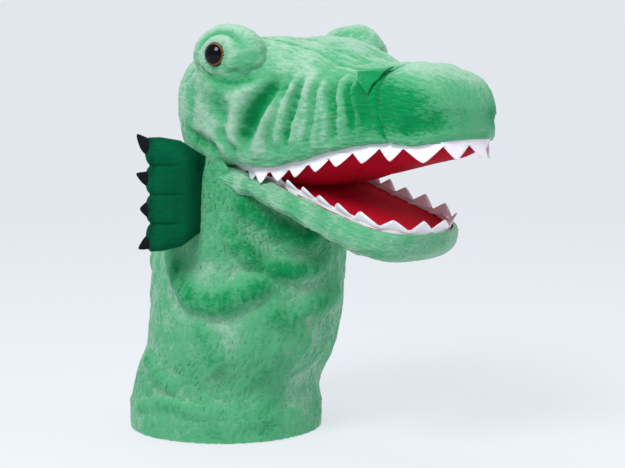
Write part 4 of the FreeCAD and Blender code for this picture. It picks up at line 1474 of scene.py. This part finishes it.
@dataclass
class Teeth:
    """A felt band along a lip with a row of flat pointed teeth."""

    paint: Painter
    name: str
    line: np.ndarray
    way: float
    pitch: Keys
    height: Keys
    band: float = 3.6
    thickness: float = 1.6
    inset: float = 1.2
    lean: float = 0.16

    def shape(self) -> bpy.types.Object:
        """One tooth, one wide and one high: a felt triangle with a blunt tip, in X and Z."""
        rows, cols = 14, 11
        t = np.linspace(0, 1, rows)[:, None]
        s = np.linspace(-1, 1, cols)[None, :]
        half = 0.52 * (1 - t ** 1.25) * (1 - 0.25 * t) + 0.075 * np.sqrt(np.clip(1 - t ** 6, 0, 1))
        x = s * half
        z = (t * 1.0 + 0 * s) - 0.25 * (1 - t)
        y = 0.5 * (1 - np.abs(s) ** 5) * (1 - 0.3 * t ** 4) + 0.02
        front = np.stack([x + 0 * y, -y, z], -1)
        back = np.stack([x + 0 * y, y, z], -1)
        maker = MeshMaker()
        f = maker.add_grid(front, np.zeros((rows, cols)), flip=True)
        b = maker.add_grid(back, np.zeros((rows, cols)))
        maker.close_rims(f, b)
        return maker.build(self.name + "_tooth_shape", self.paint.finish[Slot.FELT], weld=True)

    def frames(self) -> tuple[np.ndarray, np.ndarray, float]:
        """Tangents and outward directions along the line, and its length."""
        tangent = np.gradient(self.line, axis=0)
        tangent /= np.linalg.norm(tangent, axis=1, keepdims=True)
        out = np.cross(tangent, np.array([0, 0, 1.0]))
        out /= np.linalg.norm(out, axis=1, keepdims=True)
        middle = self.line.mean(axis=0)
        if ((self.line - middle) * out).sum() < 0:
            out = -out
        kernel = np.ones(9) / 9
        for k in range(3):
            padded = np.pad(out[:, k], 4, mode="edge")
            out[:, k] = np.convolve(padded, kernel, mode="valid")
        length = float(np.linalg.norm(np.diff(self.line, axis=0), axis=1).sum())
        return tangent, out, length

    def build(self) -> bpy.types.Object:
        """Make the band and the teeth as one piece."""
        tangent, out, length = self.frames()
        half = length / 2
        base = self.line - out * self.inset
        drop = np.array([0, 0, self.way])
        rise = np.array([-0.8, 0.0, 0.5, 1.0]) * self.band
        grid = np.stack([base + drop * k + out * (0.12 * k) for k in rise], axis=1)
        curl = Ripple(51, 26, 0.25).relief(np.arange(len(base)) * 1.0, np.zeros(len(base)))
        grid = grid + out[:, None, :] * curl[:, None, None]
        normal_out = (grid_normals(grid) * out[:, None, :]).sum() > 0
        strip = cloth_shell(self.name + "_teeth_felt", grid, np.zeros(grid.shape[:2]), self.thickness,
                            self.paint.finish[Slot.FELT], outward=normal_out)
        places = []
        marks = [half]
        while marks[-1] > 4:
            marks.append(marks[-1] - float(along(marks[-1], self.pitch)))
        centres = [(a + b) / 2 for a, b in zip(marks, marks[1:])]
        rng = np.random.default_rng(61)
        for centre, a, b in zip(centres, marks, marks[1:]):
            for s in (centre, length - centre):
                i = int(np.clip(s / length * (len(base) - 1), 0, len(base) - 1))
                high = float(along(centre, self.height)) * rng.uniform(0.92, 1.08)
                place = base[i] + drop * self.band * 0.8 + out[i] * (curl[i] - self.thickness / 2 + 0.25)
                up = Vector(drop + out[i] * self.lean)
                right = Vector(tangent[i])
                ahead = up.cross(right).normalized()
                right = ahead.cross(up)
                places.append((Vector(place), frame_turn(right, ahead, up), (a - b, self.thickness, high)))
        teeth = repeated(self.name + "_teeth_row", self.shape(), places, self.paint.finish[Slot.FELT], 13)
        return joined(strip, teeth)


@dataclass
class Jaw:
    """Chin, side rolls, lower lining, lower teeth and the lining of the mouth's fold."""

    where: Layout
    paint: Painter
    pitch: float = 18.2
    cloth: float = 2.4
    lip_gap: float = 1.6
    lining_length: float = 135.0
    lining_cloth: float = 1.4
    fold_radius: float = 4.6
    loft: ArchLoft = field(default_factory=lambda: ArchLoft(
        wide=((-14, 58), (0, 58), (10, 56), (22, 53.5), (40, 51.5), (70, 50), (95, 49), (140, 47)),
        tuck=((-14, 12), (0, 13), (30, 11), (80, 9.5), (140, 7)),
        lip=((-14, 1), (0, 0), (12, -1.0), (30, 0), (60, 1.0), (90, 2.0), (120, 4.0), (142, 5.0)),
        belly=((-14, -9), (0, -8), (40, -8), (90, -7), (120, -6), (142, -4)),
        apex=((-14, -18), (10, -18), (60, -17.5), (85, -18), (110, -19), (128, -18.5), (136, -16), (142, -9)),
        back=-14, front=142, front_cap=102, back_cap=-8, cap_power=2.8, arch_power=((0, 2.6), (140, 2.6)),
        curl_power=2.2, curl_share=0.16))
    folds: tuple[Fold, ...] = (
        Fold(((40, -14), (62, -12), (84, -13), (100, -17)), 2.0, 1.4),
        Fold(((18, -4), (26, -10), (30, -16)), 4.0, 1.2),
    )

    def placed(self, x: Grid, g: Grid, h: Grid) -> Grid:
        """Points from place across, distance along the jaw and height above its board."""
        a = math.radians(self.pitch)
        y = self.where.fold_y - g * math.cos(a) - h * math.sin(a)
        z = self.where.fold_z - g * math.sin(a) + h * math.cos(a)
        return np.stack([x, y, z], axis=-1)

    def shell(self) -> None:
        """The plush under and round the jaw."""
        rows = capped_stations(self.loft, 190)
        cols = np.linspace(0, 1, 201)
        g = np.broadcast_to(rows[:, None], (len(rows), len(cols)))
        v = np.broadcast_to(cols[None, :], g.shape)
        x, h = self.loft.section(g, v)
        smooth = self.placed(x, g, h)
        calm = 1 - eased(g, 118, 136)
        relief = (Ripple(71, 24, 0.7).relief(g + x, h) + Ripple(73, 11, 0.25).relief(g, x)) * calm
        for fold in self.folds:
            relief += fold.relief(g, h)
        normal = grid_normals(smooth)
        points = smooth + normal * relief[..., None]
        # Painted shade in the fold valleys, painted light on ridges and on the side rolls.
        nap = np.clip(relief / 1.6, -1.0, 1.0) + 0.1 * eased(np.abs(v - 0.5), 0.28, 0.42) + 0.55
        points, nap = with_pile(points, nap, normal * (1 - 0.9 * eased(g, 126, 139))[..., None], 401, 0.4)
        piece = cloth_shell("chin_cloth", points, nap, self.cloth, self.paint.finish[Slot.GREEN], tip=True)
        self.paint.settle(piece, Slot.GREEN, "lower_jaw", "chin_panel")

    def lining(self) -> None:
        """The smooth red floor of the mouth."""
        rows = 3 + self.lining_length * np.sin(np.linspace(0, math.pi / 2, 110))
        cols = np.linspace(-1, 1, 91)
        g = np.broadcast_to(rows[:, None], (len(rows), len(cols)))
        s = np.broadcast_to(cols[None, :], g.shape)
        half = np.maximum(self.loft.lip_half_width(g) - self.lip_gap, 0.5)
        lip = along(g, self.loft.lip)
        flat = 1.9 + 0.3 * Ripple(81, 34, 1.0).relief(s * half, g)
        points = self.placed(s * half, g, flat + (lip - 0.5 - flat) * np.abs(s) ** 5)
        # Painted shade: the floor is coloured deeper towards the back of the mouth.
        value = 0.4 - 1.1 * (1 - eased(g, 10, 70))
        piece = cloth_shell("lower_mouth_cloth", points, value, self.lining_cloth, self.paint.finish[Slot.RED])
        self.paint.settle(piece, Slot.RED, "lower_jaw", "lower_mouth_lining")

    def fold(self) -> None:
        """The lining's bend at the back of the mouth."""
        turn = np.linspace(math.radians(38), math.radians(322), 40)[:, None]
        x = np.linspace(-44, 44, 70)[None, :]
        y = self.where.fold_y - 3.2 - self.fold_radius * np.cos(turn) + 0 * x
        z = self.where.fold_z + self.fold_radius * np.sin(turn) + 0 * x
        z = z + 0.5 * np.sin(x * 0.31)
        points = np.stack([x + 0 * y, y, z], -1)
        # Painted shade: the fold lining is coloured deep all over.
        piece = cloth_shell("mouth_fold_cloth", points, np.full(y.shape, -1.3), 1.3, self.paint.finish[Slot.RED],
                            outward=False)
        self.paint.settle(piece, Slot.RED, "neck", "mouth_fold_lining")

    def build(self) -> None:
        """Make every piece of the lower jaw."""
        self.shell()
        self.lining()
        self.fold()
        teeth = Teeth(self.paint, "lower", lip_round(self.loft, self.placed, 4, 360), 1.0,
                      pitch=((0, 11), (60, 14), (100, 18), (150, 21)),
                      height=((0, 4), (20, 6.5), (70, 6.5), (110, 7.5), (150, 7.5)), inset=1.8, band=2.4, lean=0.75)
        piece = teeth.build()
        self.paint.settle(piece, Slot.FELT, "lower_jaw", "lower_teeth")


# ---- paws -------------------------------------------------------------------------------------
@dataclass
class Paw:
    """A flat stuffed paw with four toes and four claws, sewn into the neck's side seam."""

    where: Layout
    paint: Painter
    side: Side
    toes: int = 4
    reach: float = 37.0
    root: float = -5.0
    half_thickness: float = 10.0
    swept: float = 20.0
    seam_depth: float = 1.3
    seam_width: float = 1.0
    claw_leans: tuple[float, ...] = (-38, -8, 12, 40)
    claw_sizes: tuple[tuple[float, float, float], ...] = ((9.5, 8, 9.5), (7, 8, 12), (10, 8, 10), (12.5, 9, 10.5))

    def placed(self, r: Grid, t: Grid, h: Grid) -> Grid:
        """Points from distance out of the seam, offset through the paw and height."""
        a = math.radians(self.swept)
        x = self.where.paw_seam.x + r * math.cos(a) - t * math.sin(a)
        y = self.where.paw_seam.y + r * math.sin(a) + t * math.cos(a)
        return np.stack([x * self.side.value, y, h], axis=-1)

    def outline(self, count: int) -> np.ndarray:
        """The paw's edge seen from its face: straight at the seam, scalloped at the toes."""
        low, high = self.where.paw_low, self.where.paw_high
        tall = (high - low) / self.toes
        line = [(self.root, low + 14), (self.reach * 0.35, low + 3), (self.reach - tall * 0.55, low + 0.5)]
        for i in range(self.toes):
            middle = low + (i + 0.5) * tall
            for a in np.linspace(-70, 70, 9):
                line.append((self.reach - tall * 0.22 + tall * 0.22 * math.cos(math.radians(a)),
                             middle + tall * 0.5 * math.sin(math.radians(a))))
        line += [(self.reach - tall * 0.55, high - 0.5), (self.reach * 0.35, high - 3), (self.root, high - 14)]
        line.append(line[0])
        pts = np.array(line)
        length = np.concatenate([[0], np.cumsum(np.linalg.norm(np.diff(pts, axis=0), axis=1))])
        even = np.linspace(0, length[-1], count + 1)[:-1]
        return np.stack([np.interp(even, length, pts[:, k]) for k in range(2)], axis=1)

    def pad(self) -> None:
        """The stuffed paw."""
        edge = self.outline(240)
        centre = np.array([self.reach * 0.42, (self.where.paw_low + self.where.paw_high) / 2])
        spine_low, spine_high = self.where.paw_low + 16, self.where.paw_high - 16
        core = np.stack([np.full(len(edge), centre[0]), np.clip(edge[:, 1], spine_low, spine_high)], -1)
        maker = MeshMaker()
        tall = (self.where.paw_high - self.where.paw_low) / self.toes
        for face in (1, -1):
            rho = np.sin(np.linspace(0, math.pi / 2, 46))[:, None]
            flat = core[None] + (edge - core)[None] * rho[..., None]
            r, h = flat[..., 0], flat[..., 1]
            thick = self.half_thickness * np.sqrt(np.clip(1 - rho ** 2.6, 0, 1)) * (0.12 + 0.88 * eased(r, -6, 15))
            for i in range(1, self.toes):
                notch = self.where.paw_low + i * tall
                gap = np.abs(h - notch)
                depth = self.seam_depth * np.exp(-(gap / self.seam_width) ** 2)
                depth = depth * eased(r, self.reach - 24, self.reach - 16)
                thick = np.maximum(thick - depth * (thick > 0.01), 0.02 * (rho < 1))
            wave = Ripple(91 + face, 26, 0.5).relief(r, h) * np.clip(1 - rho ** 4, 0, 1)
            # Painted shade: deeper near the seam, at the rim, in the toe grooves and in the ripple's hollows, paler out
            # towards the toes.
            nap = np.clip((thick - 8) / 4, -1, 0.4) + wave * 0.4 + 0.25 * eased(r, 10, 26)
            points = self.placed(r, face * (thick + wave), h)
            turned = (face > 0) == (self.side is Side.LEFT)
            maker.add_grid(points, nap, (False, True), flip=turned)
        piece = maker.build("paw_" + self.side.word + "_pad", self.paint.finish[Slot.DARK], weld=True)
        body = "paw_" + self.side.word
        self.paint.settle(piece, Slot.DARK, body, body, "paw_stuffing_" + self.side.word)

    def claw_shape(self) -> bpy.types.Object:
        """One claw: a curved soft cone along X, one unit long and one unit across its root."""
        turn = np.linspace(0, math.tau, 20, endpoint=False)
        rows = []
        for t, r in ((-0.2, 0.34), (0.0, 0.48), (0.2, 0.47), (0.42, 0.40), (0.62, 0.30), (0.8, 0.20), (0.93, 0.11),
                     (1.0, 0.03)):
            rows.append(np.stack([np.full(20, t), r * np.cos(turn) * 0.8, r * np.sin(turn) + 0.16 * t * t], -1))
        maker = MeshMaker()
        grid = np.stack(rows)
        index = maker.add_grid(grid, np.zeros(grid.shape[:2]), (False, True))
        maker.faces.append(tuple(index[0][::-1]))
        maker.faces.append(tuple(index[-1]))
        return maker.build("claw_shape", self.paint.finish[Slot.CLAW])

    def claws(self) -> None:
        """A claw on every toe, fanned out."""
        tall = (self.where.paw_high - self.where.paw_low) / self.toes
        a = math.radians(self.swept)
        out = Vector((math.cos(a) * self.side.value, math.sin(a), 0))
        places = []
        for i in range(self.toes):
            height = self.where.paw_low + (i + 0.5) * tall
            lean = math.radians(self.claw_leans[i])
            way = out * math.cos(lean) + Vector((0, 0, 1)) * math.sin(lean)
            root = Vector(self.placed(np.array(self.reach - 3.0), np.array(0.0), np.array(height + 3 * math.sin(lean))))
            side = Vector((0, 0, 1)).cross(out).normalized()
            up = way.cross(side)
            places.append((root, frame_turn(way, side, up), self.claw_sizes[i]))
        piece = repeated("claws_" + self.side.word + "_set", self.claw_shape(), places,
                         self.paint.finish[Slot.CLAW], 17)
        self.paint.settle(piece, Slot.CLAW, "paw_" + self.side.word, "claws_" + self.side.word)

    def build(self) -> None:
        """Make the paw and its claws."""
        self.pad()
        self.claws()


# ---- inner parts, stage, camera ---------------------------------------------------------------
def dress_inner(frame: dict[str, Any], paint: Painter) -> None:
    """Give every frame node that still shows its own finish.

    Args:
        paint: The finishes.
    """
    slots = {part["node"]: part["material_slot"] for part in frame["record"]["subparts"]}
    for node, made in frame["nodes"].items():
        material = paint.finish[Slot(slots[node])]
        made.data.materials.clear()
        made.data.materials.append(material)
        LOG.info("%s dressed as %s", node, slots[node])


@dataclass
class Studio:
    """Pale floor that curves up behind, soft lights and the camera."""

    colour: Colour = (0.20, 0.205, 0.215)
    glow: Colour = (0.91, 0.95, 1.0)
    view: tuple[float, float, float] = (0.70208, 0.70348, -0.11046)
    camera_at: tuple[float, float, float] = (-0.83334, -0.92228, 0.274)
    lens: float = 101.8
    glow_strength: float = 0.68
    sky: float = 0.40

    def floor(self) -> None:
        """A wide sheet that rises in a curve behind the puppet."""
        tree = Tree("studio_floor")
        where = tree.mapped((1, 1, 1))
        grain = tree.maths("MULTIPLY", tree.noise(where, 3.0, 2.0), 0.02)
        colour = tree.ramp(grain, [(0.0, self.colour), (1.0, self.colour)])
        material = tree.skin(Base_Color=colour, Roughness=1.0, Specular_IOR_Level=0.0,
                             Emission_Color=(*self.glow, 1), Emission_Strength=self.glow_strength)
        maker = MeshMaker()
        radius, reach = 900.0, 1500.0
        back = np.array([*self.view[:2], 0]) / math.hypot(*self.view[:2])
        wide = np.array([back[1], -back[0], 0])
        path = [(-4000.0, 0.0), (0.0, 0.0), (reach, 0.0)]
        path += [(reach + radius * math.sin(a), radius * (1 - math.cos(a)))
                 for a in np.linspace(0.1, math.pi / 2, 16)]
        path.append((reach + radius, 4000.0))
        grid = np.zeros((len(path), 2, 3))
        for i, (run, height) in enumerate(path):
            for k, across in enumerate((-6000.0, 6000.0)):
                grid[i, k] = back * run + wide * across + np.array([0, 0, height])
        maker.add_grid(grid, np.zeros((len(path), 2)), flip=True)
        piece = maker.build("studio_floor", material)

    def lights(self) -> None:
        """Large soft lights and an even sky."""
        bpy.context.scene.view_settings.view_transform = "Standard"
        world = bpy.data.worlds.new("studio_sky")
        bpy.context.scene.world = world
        world.use_nodes = True
        sky = world.node_tree.nodes["Background"]
        sky.inputs["Color"].default_value = (0.93, 0.95, 1.0, 1)
        sky.inputs["Strength"].default_value = self.sky
        for name, place, size, power in (("key", (-1.3, -0.5, 1.4), 0.7, 33), ("fill", (0.9, -1.5, 0.8), 1.4, 9),
                                         ("top", (0.0, 0.0, 1.7), 1.0, 5)):
            lamp = bpy.data.lights.new(name, "AREA")
            lamp.size = size
            lamp.energy = power
            holder = bpy.data.objects.new(name, lamp)
            holder.location = place
            aim = Vector((0, -0.08, 0.15)) - Vector(place)
            holder.rotation_euler = aim.to_track_quat("-Z", "Y").to_euler()
            bpy.context.scene.collection.objects.link(holder)

    def camera(self) -> None:
        """A long lens in front of the puppet's right side."""
        lens = bpy.data.cameras.new("camera")
        lens.lens = self.lens
        lens.sensor_width = 36
        holder = bpy.data.objects.new("camera", lens)
        holder.location = self.camera_at
        holder.rotation_euler = Vector(self.view).to_track_quat("-Z", "Y").to_euler()
        bpy.context.scene.collection.objects.link(holder)
        bpy.context.scene.camera = holder

    def build(self) -> None:
        """Set up the studio."""
        self.camera()
        self.floor()
        self.lights()


def main() -> None:
    """Build the puppet over its frame."""
    logging.basicConfig(level=logging.INFO, format="%(message)s")
    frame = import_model()
    where = Layout.read(frame)
    paint = Painter(finishes())
    Studio().build()
    dress_inner(frame, paint)
    Sleeve(where, paint).build()
    Head(where, paint).build()
    Jaw(where, paint).build()
    for side in Side:
        Paw(where, paint, side).build()


if __name__ == "__main__":
    main()
